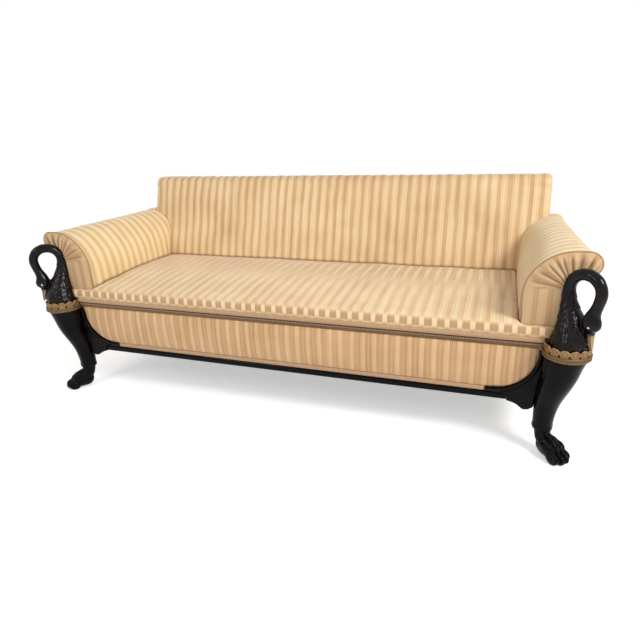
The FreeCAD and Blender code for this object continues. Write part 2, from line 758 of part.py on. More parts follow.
def arm_outline(y, inset, bottom):
    """Whole section of the arm: up the inside, over the roll, round the lip and down."""
    roll_radius, lip_radius, lip_x, top = arm_sizes(y)
    roll = roll_radius - inset
    lip = lip_radius - inset
    under_radius = lip_x - ARM_OUTSIDE
    under = under_radius + inset
    roll_x = SEAT_HALF_WIDTH + roll_radius
    roll_z = top - roll_radius
    lip_z = top - lip_radius
    under_z = lip_z - lip_radius - under_radius
    start = (roll_x - roll, bottom)
    steps = (
        (roll_x - roll, roll_z),
        (on_arc(roll_x, roll_z, roll, 135), (roll_x, roll_z + roll)),
        (lip_x, roll_z + roll),
        (on_arc(lip_x, lip_z, lip, 0), (lip_x, lip_z - lip)),
        (on_arc(lip_x, under_z, under, 135), (lip_x - under, under_z)),
        (lip_x - under, bottom),
    )
    return start, steps


def arm_solid(outline, y0, y1):
    """Straight-sided solid between the arm's outlines at two depths."""
    wires = []
    for y in (y0, y1):
        start, steps = outline(y)
        wires.append(Part.Wire(edges(start, steps + (start,), front_plane(y))))
    return Part.makeLoft(wires, True, True)


def reversed_run(start, steps):
    """The same run of lines and arcs, walked from its end back to its start."""
    ends = [start] + [step[1] if isinstance(step[0], tuple) else step for step in steps]
    back = []
    for step, end in zip(reversed(steps), reversed(ends[:-1])):
        back.append((step[0], end) if isinstance(step[0], tuple) else end)
    return ends[-1], tuple(back)


def arm_layer(first, last, count, bottom):
    """Outline of a layer between two insets, along part of the arm's run."""
    def outline(y):
        outer_start, outer = arm_outline(y, first, bottom)
        inner_start, inner = arm_outline(y, last, bottom)
        turn, back = reversed_run(inner_start, inner[:count])
        return outer_start, outer[:count] + (turn,) + back
    return outline


def behind_back(front):
    """Room of the back and everything behind it, for trimming what ends against it."""
    reach = BACK_HALF_WIDTH + FIT
    return leaning_board(-reach, reach, 0, BEYOND, front, BEYOND)


def behind_frame(front):
    return leaning_board(0, BEYOND, 0, BEYOND, front, BEYOND)


def behind_post():
    """Room behind and below the back post at seat height."""
    return box(0, BEYOND, POST_FRONT + POST_SEAT_DEEP, BEYOND, 0, RAIL_TOP)


def arm_pad():
    """Padding up the inside of the arm, over the roll and round the lip."""
    outline = arm_layer(0, ARM_PAD, 4, ARM_PAD_BOTTOM)
    whole = arm_solid(outline, ARM_FRONT_Y, ARM_FRONT_Y + ARM_LENGTH)
    return whole.cut(behind_back(-FIT)).cut(behind_frame(BACK_FRAME_REAR))


def arm_board(y):
    return arm_solid(lambda depth: arm_outline(depth, ARM_PAD + FIT, RAIL_TOP), y, y + ARM_BOARD)


def lip_middle(y):
    _, lip_radius, lip_x, top = arm_sizes(y)
    return Vector(lip_x, y, top - lip_radius)


def lip_core(y):
    return arm_sizes(y)[1] - ARM_PAD - WEB_THICK - 2 * FIT


def arm_scroll_rail(gap=0.0):
    """Tapered round rail inside the lip, with a spigot into the front board."""
    front = ARM_FRONT_Y + ARM_BOARD
    rear = ARM_FRONT_Y + ARM_LENGTH
    along = lip_middle(rear) - lip_middle(front)
    body = Part.makeCone(lip_core(front) + gap, lip_core(rear) + gap, along.Length,
                         lip_middle(front), along)
    body = body.cut(box(0, BEYOND, -BEYOND, front, 0, BEYOND)).cut(behind_frame(BACK_FRAME_REAR))
    spigot = rod(lip_middle(front - SPIGOT_LONG - gap), lip_middle(front + 5), SPIGOT_RADIUS + gap)
    return body, spigot


def scroll_rail_whole():
    return fused(list(arm_scroll_rail()))


def arm_front_board():
    board = fused([arm_board(ARM_FRONT_Y), arm_front_tenon()])
    return board.cut(arm_scroll_rail(HOLE_FIT)[1])


def arm_rear_board():
    """Rear board of the arm, with an open seat for the scroll rail that runs on past it."""
    board = fused([arm_board(REAR_BOARD_Y), arm_rear_tenon()])
    board = board.cut(arm_scroll_rail(HOLE_FIT)[0])
    open_side = lip_middle(REAR_BOARD_Y + ARM_BOARD).x - SCROLL_SEAT
    return board.cut(box(open_side, BEYOND, -BEYOND, BEYOND, 0, BEYOND))


def arm_stuffing_rail():
    """Rail at the foot of the inside arm, between the two arm boards."""
    inner = SEAT_HALF_WIDTH + ARM_PAD + WEB_THICK + 2 * FIT
    return box(inner, inner + STUFFING_RAIL, ARM_FRONT_Y + ARM_BOARD, REAR_BOARD_Y,
               ARM_PAD_BOTTOM, ARM_PAD_BOTTOM + 2 * STUFFING_RAIL)


def arm_webbing():
    """Straps from the stuffing rail up and over to the scroll rail."""
    inset = ARM_PAD + FIT
    outline = arm_layer(inset, inset + WEB_THICK, 3, ARM_PAD_BOTTOM + WEB_SHORT)
    first = ARM_FRONT_Y + ARM_BOARD
    room = REAR_BOARD_Y - first
    straps = []
    for i in range(ARM_STRAPS):
        y = first + room * (i + 0.5) / ARM_STRAPS - WEB_WIDTH / 2
        strap = arm_solid(outline, y, y + WEB_WIDTH)
        straps += [strap, mirrored(strap)]
    return compound(straps)


def side_board_top():
    """Height of the outside of the arm where the hollow under the roll begins, at the front."""
    _, lip_radius, lip_x, top = arm_sizes(ARM_FRONT_Y)
    return top - 2 * lip_radius - (lip_x - ARM_OUTSIDE)


def arm_side_board():
    front = max(ARM_FRONT_Y + ARM_BOARD, RAIL_BACK_Y)
    board = box(SIDE_RAIL_OUT, ARM_OUTSIDE - COVER_THICK, front, BEYOND, RAIL_BOTTOM, side_board_top())
    return board.cut(behind_frame(BACK_FRAME_REAR)).cut(behind_post())


def arm_outside_cover():
    """Cloth over the side board, drawn up in a hollow to the underside of the lip."""
    def outline(y):
        outer = arm_outline(y, 0, RAIL_BOTTOM + FIT)[1]
        inner = arm_outline(y, COVER_THICK, RAIL_BOTTOM + FIT)[1]
        turn, back = reversed_run(inner[3][1], inner[4:])
        return outer[3][1], outer[4:] + (turn,) + back
    whole = arm_solid(outline, ARM_FRONT_Y, ARM_FRONT_Y + ARM_LENGTH)
    whole = whole.cut(box(0, BEYOND, -BEYOND, RAIL_BACK_Y + FIT, 0, RAIL_TOP + FIT))
    return whole.cut(behind_post()).cut(behind_frame(BACK_FRAME_REAR))


def arm_back_panel():
    """Panel that closes the rear end of the arm roll beside the back."""
    front = BACK_FRAME_REAR + FIT
    whole = arm_solid(lambda y: arm_outline(y, 0, SEAT_LINE), REAR_BOARD_Y, ARM_FRONT_Y + ARM_LENGTH)
    whole = whole.common(leaning_board(0, BEYOND, 0, BEYOND, front, front + COVER_THICK))
    return whole.cut(box(0, BACK_HALF_WIDTH + FIT, 0, BEYOND, 0, BEYOND))


def arm_facing():
    start, steps = arm_outline(ARM_FRONT_Y, FACING_INSET, FACING_BOTTOM)
    plate = face(start, steps, front_plane(FRONT_Y))
    return plate.extrude(Vector(0, FACING_THICK - FIT, 0))


def arm_piping():
    place = front_plane(FRONT_Y + FACING_THICK / 2)
    start, steps = arm_outline(ARM_FRONT_Y, 0, PIPING_BOTTOM)
    path = Part.Wire(edges(start, steps[:4], place))
    ring = Part.Wire(Part.makeCircle(PIPING_RADIUS, place(*start), Vector(0, 0, 1)))
    return path.makePipeShell([ring], True, False)


def front_moulding():
    """Black bead along the foot of the front panel."""
    reach = BRACKET_STEP_X - FIT
    proud = FRONT_Y - MOULDING_PROUD
    rear = proud + MOULDING_DEEP
    top = RAIL_BOTTOM
    bottom = MOULDING_BOTTOM
    round_off = (top - bottom) / 3
    corner_cut = round_off * (1 - math.sqrt(0.5))
    outline = face(
        (rear, bottom),
        (
            (rear, top),
            (proud + round_off, top),
            ((proud + corner_cut, top - corner_cut), (proud, top - round_off)),
            (proud, bottom + round_off),
            ((proud + corner_cut, bottom + corner_cut), (proud + round_off, bottom)),
        ),
        side_plane(-reach),
    )
    return outline.extrude(Vector(2 * reach, 0, 0))


def side_moulding():
    """Black bead under the outside of the arm, from the leg to the back post."""
    s, t, _, radius = LEG_SECTIONS[SEAT_LEVEL_SECTION]
    start_y = corner(s, t, 0).y + radius + FIT
    bead = box(SIDE_RAIL_OUT, ARM_OUTSIDE + COVER_THICK, start_y, POST_FRONT - FIT,
               MOULDING_BOTTOM, RAIL_BOTTOM)
    outer = [e for e in bead.Edges if e.BoundBox.XMin > ARM_OUTSIDE and e.BoundBox.ZLength < FIT
             and e.BoundBox.YLength > ARM_WIDTH]
    return bead.makeFillet(SIDE_BEAD_ROUND, outer)


def front_panel():
    """Padded panel between seat and moulding, with rounded lower corners."""
    arc_x = PANEL_HALF_WIDTH - PANEL_CORNER
    arc_z = PANEL_BOTTOM + PANEL_CORNER
    outline = face(
        (-arc_x, PANEL_BOTTOM),
        (
            (arc_x, PANEL_BOTTOM),
            (on_arc(arc_x, arc_z, PANEL_CORNER, -45), (PANEL_HALF_WIDTH, arc_z)),
            (PANEL_HALF_WIDTH, PANEL_TOP - FIT),
            (-PANEL_HALF_WIDTH, PANEL_TOP - FIT),
            (-PANEL_HALF_WIDTH, arc_z),
            (on_arc(-arc_x, arc_z, PANEL_CORNER, -135), (-arc_x, PANEL_BOTTOM)),
        ),
        front_plane(FRONT_Y - PANEL_THICK),
    )
    return outline.extrude(Vector(0, PANEL_THICK, 0))


def front_panel_welt():
    reach = BRACKET_TIP_X - FIT
    return box(-reach, reach, FRONT_Y - PANEL_THICK, FRONT_Y, RAIL_BOTTOM + FIT,
               PANEL_BOTTOM - FIT)


def seat_pad():
    """Sprung seat: crowned top, rolled front edge and ears in front of the arm facings."""
    bottom = PANEL_TOP + HESSIAN_THICK + FIT
    lip = PANEL_TOP + BRAID_HIGH + SEAT_WELT_HIGH
    front = FRONT_Y - SEAT_PROUD
    under = FRONT_Y - EDGE_PROUD
    roll_z = SEAT_FRONT_TOP - SEAT_ROLL
    rear_top = SEAT_LINE - SEAT_DROP
    middle = ((front + SEAT_BACK_Y) / 2, (SEAT_FRONT_TOP + rear_top) / 2 + SEAT_CROWN)
    nose = (
        (under, lip),
        (front, lip),
        (front, roll_z),
        (on_arc(front + SEAT_ROLL, roll_z, SEAT_ROLL, 135), (front + SEAT_ROLL, SEAT_FRONT_TOP)),
    )
    reach = SEAT_HALF_WIDTH - FIT
    main = face(
        (under, bottom),
        nose + (
            (middle, (back_face(rear_top) - FIT, rear_top)),
            (back_face(bottom) - FIT, bottom),
        ),
        side_plane(-reach),
    ).extrude(Vector(2 * reach, 0, 0))
    ear_back = FRONT_Y - FIT
    ear_top = roll_z + SEAT_PROUD - FIT
    ears = face(
        (under, bottom),
        (
            (under, lip),
            (front, lip),
            (front, roll_z),
            (((front + ear_back) / 2 - EAR_BULGE, (roll_z + ear_top) / 2 + EAR_BULGE),
             (ear_back, ear_top)),
            (ear_back, bottom),
        ),
        side_plane(-ear_end() - EAR_REACH),
    ).extrude(Vector(2 * (ear_end() + EAR_REACH), 0, 0))
    whole = fused([main, ears])
    return whole.cut(corner_room()).cut(mirrored(corner_room()))


def trim_end():
    return ear_end() - TRIM_SHORT


def seat_welt():
    low = PANEL_TOP + BRAID_HIGH + FIT
    high = PANEL_TOP + BRAID_HIGH + SEAT_WELT_HIGH - FIT
    rear = FRONT_Y - EDGE_PROUD - FIT
    front = FRONT_Y - SEAT_PROUD - WELT_PROUD
    flat = front + WELT_ROUND
    outline = face(
        (rear, low),
        ((rear, high), (flat, high), ((front, (low + high) / 2), (flat, low))),
        side_plane(-trim_end()),
    )
    return outline.extrude(Vector(2 * trim_end(), 0, 0))


def seat_braid():
    rear = FRONT_Y - EDGE_PROUD - FIT
    reach = trim_end()
    return box(-reach, reach, rear - BRAID_THICK, rear, PANEL_TOP + HESSIAN_THICK + FIT,
               PANEL_TOP + BRAID_HIGH)


def seat_webbing():
    """Lengthways straps laid under the rails with the cross straps woven under them."""
    top = RAIL_BOTTOM
    left = -SIDE_RAIL_OUT + WEB_SHORT
    front = FRONT_Y + MOULDING_DEEP - MOULDING_PROUD + FIT
    rear = REAR_RAIL_Y + RAIL_THICK - WEB_SHORT
    straps = []
    for i in range(WEB_CROSS_COUNT):
        x = -SPRING_SPAN_X / 2 + SPRING_SPAN_X * i / (WEB_CROSS_COUNT - 1)
        straps.append(box(x - WEB_WIDTH / 2, x + WEB_WIDTH / 2, front, rear,
                          top - WEB_THICK, top))
    for i in range(WEB_LONG_COUNT):
        y = RAIL_BACK_Y + (REAR_RAIL_Y - RAIL_BACK_Y) * (i + 0.5) / WEB_LONG_COUNT
        straps.append(box(left, -left, y - WEB_WIDTH / 2, y + WEB_WIDTH / 2,
                          top - 2 * WEB_THICK, top - WEB_THICK))
    return compound(straps)


def wire_ring(middle, out, up):
    points = []
    for i in range(SPRING_SIDES + 1):
        angle = 2 * math.pi * i / SPRING_SIDES
        points.append(middle + out * math.cos(angle) + up * math.sin(angle))
    return Part.makePolygon(points)


def seat_spring():
    """Coil that stands on the webbing and carries the hessian."""
    low = RAIL_BOTTOM + SPRING_WIRE + FIT
    height = PANEL_TOP - RAIL_BOTTOM - 2 * SPRING_WIRE - 2 * FIT
    count = int(SPRING_TURNS * SPRING_STEPS)
    rings = []
    for i in range(count + 1):
        angle = 2 * math.pi * i / SPRING_STEPS
        out = Vector(math.cos(angle), math.sin(angle), 0)
        middle = out * SPRING_RADIUS + Vector(0, 0, low + height * i / count)
        rings.append(wire_ring(middle, out * SPRING_WIRE, Vector(0, 0, SPRING_WIRE)))
    return loft(rings)


def seat_springs():
    coil = seat_spring()
    middle_y = (RAIL_BACK_Y + REAR_RAIL_Y) / 2
    coils = []
    for column in range(SPRING_COLUMNS):
        for row in range(SPRING_ROWS):
            x = SPRING_SPAN_X * (column / (SPRING_COLUMNS - 1) - 0.5)
            y = middle_y + SPRING_SPAN_Y * (row / (SPRING_ROWS - 1) - 0.5)
            placed = coil.copy()
            placed.translate(Vector(x, y, 0))
            coils.append(placed)
    return compound(coils)


def seat_hessian():
    reach = SEAT_HALF_WIDTH - HESSIAN_THICK
    rear = back_face(PANEL_TOP) - HESSIAN_THICK
    return box(-reach, reach, FRONT_Y + HESSIAN_THICK, rear, PANEL_TOP, PANEL_TOP + HESSIAN_THICK)


def dust_cover():
    reach = POST_OUTSIDE - POST_WIDTH - FIT
    high = RAIL_BOTTOM - 2 * WEB_THICK
    return box(-reach, reach, RAIL_BACK_Y + FIT, REAR_RAIL_Y + RAIL_THICK, high - DUST_THICK, high)


def back_webbing():
    inside, top, lower = back_cross_rails()
    straps = []
    for i in range(BACK_STRAPS):
        x = inside * (2 * (i + 0.5) / BACK_STRAPS - 1)
        straps.append(leaning_board(x - WEB_WIDTH / 2, x + WEB_WIDTH / 2,
                                    lower[0] + WEB_SHORT, top[1] - WEB_SHORT,
                                    BACK_PAD + FIT, BACK_FRAME_FRONT))
    return compound(straps)


def back_pad():
    """Back cushion that leans, rolls at the top front and caps the top rail."""
    rear = back_face(POST_TOP) + BACK_FRAME_REAR
    cap = POST_TOP + FIT
    start_z = BACK_TOP - BACK_ROLL_HIGH
    crest = back_face(start_z) + BACK_ROLL
    middle = (back_face(start_z) + BACK_ROLL * ROLL_IN, BACK_TOP - BACK_ROLL * ROLL_DOWN)
    round_off = BACK_REAR_ROUND
    corner_cut = round_off * (1 - math.sqrt(0.5))
    outline = face(
        (back_face(BACK_PAD_BOTTOM), BACK_PAD_BOTTOM),
        (
            (back_face(start_z), start_z),
            (middle, (crest, BACK_TOP)),
            (rear - round_off, BACK_TOP),
            ((rear - corner_cut, BACK_TOP - corner_cut), (rear, BACK_TOP - round_off)),
            (rear, cap),
            (back_face(cap) + BACK_PAD, cap),
            (back_face(BACK_PAD_BOTTOM) + BACK_PAD, BACK_PAD_BOTTOM),
        ),
        side_plane(-BACK_HALF_WIDTH),
    )
    return outline.extrude(Vector(2 * BACK_HALF_WIDTH, 0, 0))


def back_outside_cover():
    """Cloth skin behind the frame, from the top rail down to the foot of the seat rail."""
    seat_rear = POST_FRONT + POST_SEAT_DEEP + FIT
    lean = BACK_FRAME_REAR + FIT
    bend = RAIL_TOP + (seat_rear - back_face(RAIL_TOP) - lean) / SLOPE
    skin = COVER_THICK
    top = BACK_TOP - COVER_LOW
    outline = face(
        (seat_rear, RAIL_BOTTOM),
        (
            (seat_rear + skin, RAIL_BOTTOM),
            (seat_rear + skin, bend),
            (back_face(top) + lean + skin, top),
            (back_face(top) + lean, top),
            (seat_rear, bend),
        ),
        side_plane(-BACK_HALF_WIDTH),
    )
    return outline.extrude(Vector(2 * BACK_HALF_WIDTH, 0, 0))


def both_sides(name, shape):
    return {name + "_left": mirrored(shape), name + "_right": shape}


def build():
    nodes = {}
    nodes["front_seat_rail"] = front_seat_rail()
    nodes["back_seat_rail"] = back_seat_rail()
    nodes.update(both_sides("side_seat_rail", side_seat_rail()))
    nodes["seat_braces"] = seat_braces()
    nodes["corner_blocks"] = corner_blocks()
    nodes["corner_block_screws"] = compound(block_screws())
    nodes["leg_dowels"] = leg_dowels()
    nodes.update(both_sides("back_post", back_post()))
    nodes["back_top_rail"] = back_rail("top")
    nodes["back_lower_rail"] = back_rail("lower")
    nodes.update(both_sides("back_upright", back_upright()))
    nodes.update(both_sides("arm_front_board", arm_front_board()))
    nodes.update(both_sides("arm_rear_board", arm_rear_board()))
    nodes.update(both_sides("arm_scroll_rail", scroll_rail_whole()))
    nodes.update(both_sides("arm_stuffing_rail", arm_stuffing_rail()))
    nodes.update(both_sides("arm_side_board", arm_side_board()))
    nodes.update(both_sides("front_leg", front_leg()))
    nodes.update(both_sides("swan", swan()))
    nodes.update(both_sides("collar", collar()))
    nodes.update(both_sides("wing_bracket", wing_bracket()))
    nodes["swan_eyes"] = swan_eyes()
    nodes["front_moulding"] = front_moulding()
    nodes.update(both_sides("side_moulding", side_moulding()))
    nodes["seat_webbing"] = seat_webbing()
    nodes["seat_springs"] = seat_springs()
    nodes["seat_hessian"] = seat_hessian()
    nodes["seat_pad"] = seat_pad()
    nodes["seat_welt"] = seat_welt()
    nodes["seat_braid"] = seat_braid()
    nodes["front_panel"] = front_panel()
    nodes["front_panel_welt"] = front_panel_welt()
    nodes["back_webbing"] = back_webbing()
    nodes["arm_webbing"] = arm_webbing()
    nodes["back_pad"] = back_pad()
    nodes["back_outside_cover"] = back_outside_cover()
    nodes.update(both_sides("arm_pad", arm_pad()))
    nodes.update(both_sides("arm_facing", arm_facing()))
    nodes.update(both_sides("arm_piping", arm_piping()))
    nodes.update(both_sides("arm_outside_cover", arm_outside_cover()))
    nodes.update(both_sides("arm_back_panel", arm_back_panel()))
    nodes["dust_cover"] = dust_cover()
    return nodes


def main():
    os.makedirs("parts", exist_ok=True)
    for name, shape in build().items():
        solids = shape.Solids
        volume = sum(solid.Volume for solid in solids)
        print(f"{name}: {len(solids)} solids, {volume / 1000:.0f} cm3, valid {shape.isValid()}")
        shape.exportStep(f"parts/{name}.step")


main()
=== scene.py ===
import math

import bmesh
import bpy
import numpy as np
from mathutils import Matrix, Vector
from mathutils.kdtree import KDTree


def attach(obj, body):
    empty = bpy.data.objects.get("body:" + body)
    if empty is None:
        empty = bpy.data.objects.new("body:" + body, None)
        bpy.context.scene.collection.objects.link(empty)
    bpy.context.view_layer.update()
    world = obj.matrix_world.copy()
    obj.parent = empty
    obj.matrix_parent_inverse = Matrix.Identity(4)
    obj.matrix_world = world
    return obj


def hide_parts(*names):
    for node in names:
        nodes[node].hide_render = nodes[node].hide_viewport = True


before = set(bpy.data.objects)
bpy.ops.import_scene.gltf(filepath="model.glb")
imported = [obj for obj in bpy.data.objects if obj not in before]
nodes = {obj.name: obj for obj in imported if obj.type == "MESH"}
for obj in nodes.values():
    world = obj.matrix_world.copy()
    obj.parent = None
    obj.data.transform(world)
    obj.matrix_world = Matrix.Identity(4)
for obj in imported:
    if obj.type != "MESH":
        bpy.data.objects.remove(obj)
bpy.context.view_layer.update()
scene = bpy.context.scene
print("frame loaded,", len(nodes), "nodes")

# camera at the photograph's viewpoint
photoCamera = {
    "place": (0.799, -1.982, 1.090),
    "yaw": -18.89,
    "pitch": 20.08,
    "roll": -1.97,
    "lens": 27.72,
    "shift": (-0.0217, -0.00875),
}


def placeCamera(settings):
    yaw, pitch, roll = (math.radians(settings[key]) for key in ("yaw", "pitch", "roll"))
    ahead = Vector((math.sin(yaw) * math.cos(pitch), math.cos(yaw) * math.cos(pitch), -math.sin(pitch)))
    level = Vector((math.cos(yaw), -math.sin(yaw), 0))
    up = level.cross(ahead)
    right = level * math.cos(roll) + up * math.sin(roll)
    top = up * math.cos(roll) - level * math.sin(roll)
    data = bpy.data.cameras.new("photoCamera")
    data.lens = settings["lens"]
    data.sensor_width = 36
    data.shift_x, data.shift_y = settings["shift"]
    camera = bpy.data.objects.new("photoCamera", data)
    turn = Matrix((right, top, -ahead)).transposed().to_4x4()
    camera.matrix_world = Matrix.Translation(settings["place"]) @ turn
    scene.collection.objects.link(camera)
    scene.camera = camera


placeCamera(photoCamera)
print("camera placed")


# small tools

def hexColor(text):
    parts = [int(text[i:i + 2], 16) / 255 for i in (1, 3, 5)]
    return [c / 12.92 if c <= 0.04045 else ((c + 0.055) / 1.055) ** 2.4 for c in parts] + [1]


def addNode(tree, kind, inputs=None, **settings):
    node = tree.nodes.new(kind)
    for key, value in settings.items():
        setattr(node, key, value)
    for key, value in (inputs or {}).items():
        if isinstance(value, bpy.types.NodeSocket):
            tree.links.new(value, node.inputs[key])
        else:
            node.inputs[key].default_value = value
    return node


def newMaterial(name, **sockets):
    material = bpy.data.materials.new(name)
    material.use_nodes = True
    tree = material.node_tree
    tree.nodes.clear()
    surface = addNode(tree, "ShaderNodeBsdfPrincipled", sockets)
    addNode(tree, "ShaderNodeOutputMaterial", {"Surface": surface.outputs[0]})
    return material, tree, surface


def newPiece(name, mesh):
    piece = bpy.data.objects.new(name, mesh)
    scene.collection.objects.link(piece)
    return piece


def applyModifiers(piece):
    graph = bpy.context.evaluated_depsgraph_get()
    mesh = bpy.data.meshes.new_from_object(piece.evaluated_get(graph))
    piece.modifiers.clear()
    piece.data = mesh


def meshPiece(name, bm):
    mesh = bpy.data.meshes.new(name)
    bm.to_mesh(mesh)
    bm.free()
    return newPiece(name, mesh)


def mergedCopy(name, node):
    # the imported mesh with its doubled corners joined
    mesh = nodes[node].data.copy()
    mesh.materials.clear()
    bm = bmesh.new()
    bm.from_mesh(mesh)
    bmesh.ops.remove_doubles(bm, verts=bm.verts, dist=1e-5)
    return newPiece(name, mesh), bm


def nodeCopy(name, node, voxel, rounds):
    piece, bm = mergedCopy(name, node)
    bm.to_mesh(piece.data)
    bm.free()
    remesh = piece.modifiers.new("remesh", "REMESH")
    remesh.mode = "VOXEL"
    remesh.voxel_size = voxel
    applyModifiers(piece)
    relax(piece, rounds)
    piece.data.shade_smooth()
    return piece


def relax(piece, rounds, above=-1):
    bm = bmesh.new()
    bm.from_mesh(piece.data)
    chosen = [v for v in bm.verts if v.co.z > above]
    for i in range(rounds):
        bmesh.ops.smooth_vert(bm, verts=chosen, factor=0.5, use_axis_x=True, use_axis_y=True, use_axis_z=True)
    bm.to_mesh(piece.data)
    bm.free()


def readShape(piece):
    count = len(piece.data.vertices)
    places, normals = np.zeros(count * 3), np.zeros(count * 3)
    piece.data.vertices.foreach_get("co", places)
    piece.data.vertices.foreach_get("normal", normals)
    return places.reshape(-1, 3), normals.reshape(-1, 3)


def writeShape(piece, places):
    piece.data.vertices.foreach_set("co", places.ravel())
    piece.data.update()


def paint(piece, name, values):
    layer = piece.data.attributes.get(name) or piece.data.attributes.new(name, "FLOAT", "POINT")
    layer.data.foreach_set("value", np.asarray(values, np.float32))


def subdivide(piece, levels=1):
    finer = piece.modifiers.new("finer", "SUBSURF")
    finer.levels = finer.render_levels = levels
    applyModifiers(piece)


def mirrored(piece, name):
    mesh = piece.data.copy()
    mesh.transform(Matrix.Scale(-1, 4, (1, 0, 0)))
    mesh.flip_normals()
    return newPiece(name, mesh)


def settle(piece, material, slot, *replaced):
    piece.data.materials.clear()
    piece.data.materials.append(material)
    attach(piece, "root")
    if replaced:
        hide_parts(*replaced)
    return piece


def paddedPair(piece, finish, slot, fill, *replaced):
    other = mirrored(piece, piece.name.replace("Right", "Left"))
    for side, each in (("_left", other), ("_right", piece)):
        settle(each, finish, slot, *(node + side for node in replaced))


def ease(low, high, values):
    share = np.clip((values - low) / (high - low), 0, 1)
    return share * share * (3 - 2 * share)


def ripple(places, size, seed):
    # soft seeded unevenness, about -1 to 1, with waves of the given size in metres
    total = np.zeros(len(places))
    for i in range(5):
        angle = seed * 1.7 + i * 2.399
        way = np.array((math.cos(angle), math.sin(angle), math.cos(angle * 1.3 + seed)))
        total += np.sin(places @ way * (2 * math.pi / size) * (0.7 + 0.15 * i) + seed + i * 1.3)
    return total / 3


# finishes

def objectPlace(tree):
    return addNode(tree, "ShaderNodeTexCoord").outputs["Object"]


def attribute(tree, name):
    return addNode(tree, "ShaderNodeAttribute", attribute_name=name).outputs["Fac"]


def noise(tree, place, scale, detail=2):
    return addNode(tree, "ShaderNodeTexNoise", {"Vector": place, "Scale": scale, "Detail": detail}).outputs["Fac"]


def stretched(tree, place, scale):
    return addNode(tree, "ShaderNodeMapping", {"Vector": place, "Scale": scale}).outputs[0]


def worked(tree, operation, *values):
    return addNode(tree, "ShaderNodeMath", dict(enumerate(values)), operation=operation).outputs[0]


def ranged(tree, value, low, high):
    # 0 to 1 becomes low to high
    return addNode(tree, "ShaderNodeMapRange", {"Value": value, "To Min": low, "To Max": high}).outputs[0]


def shared(tree, value, low, high, **settings):
    # low to high becomes 0 to 1
    inputs = {"Value": value, "From Min": low, "From Max": high}
    return addNode(tree, "ShaderNodeMapRange", inputs, **settings).outputs[0]


def mixed(tree, share, *ends):
    first, second = (hexColor(end) if isinstance(end, str) else end for end in ends)
    inputs = {"Factor": share, "A": first, "B": second}
    return addNode(tree, "ShaderNodeMix", inputs, data_type="RGBA").outputs["Result"]


def bumped(tree, height, strength, distance):
    inputs = {"Height": height, "Strength": strength, "Distance": distance}
    return addNode(tree, "ShaderNodeBump", inputs).outputs[0]


def wire(tree, surface, sockets):
    for key, value in sockets.items():
        tree.links.new(value, surface.inputs[key])


def ebonisedWood(name, gloss):
    # close-grained wood stained black and french polished: deep gloss, brown where hands have rubbed it
    material, tree, surface = newMaterial(name, **{"IOR": 1.45, "Specular IOR Level": gloss})
    place = objectPlace(tree)
    gild = attribute(tree, "gild")
    cloud = noise(tree, place, 38, 4)
    rubbed = worked(tree, "MULTIPLY", attribute(tree, "wear"), cloud)
    black = mixed(tree, rubbed, "#050506", "#241511")
    bill = mixed(tree, cloud, "#8A7350", "#B79C6E")
    pores = noise(tree, stretched(tree, place, (1, 1, 0.12)), 420, 3)  # 2 mm pores
    wire(tree, surface, {
        "Base Color": mixed(tree, gild, black, bill),
        "Roughness": worked(tree, "MULTIPLY_ADD", gild, 0.15, ranged(tree, cloud, 0.07, 0.19)),
        "Normal": bumped(tree, pores, 0.12, 0.0006)})
    return material


def giltMetal():
    # gilt casting: warm yellow metal, rubbed bright on its high places; the dark in its hollows is partly patina
    # and partly painted shade
    material, tree, surface = newMaterial("giltMetal", **{"Metallic": 1.0})
    place = objectPlace(tree)
    cloud = noise(tree, place, 55, 5)
    gold = mixed(tree, cloud, "#73593C", "#9E815A")
    wire(tree, surface, {
        "Base Color": mixed(tree, attribute(tree, "hollowPatinaAndShade"), gold, "#2E1E10"),
        "Roughness": ranged(tree, cloud, 0.34, 0.55),
        "Normal": bumped(tree, noise(tree, place, 600), 0.15, 0.0005)})
    return material


# repeat in metres; the rest in shares of a repeat, from the middle of a band
satinWeave = {"repeat": 0.044, "edge": (0.335, 0.28), "glint": 0.10, "ribs": 22}


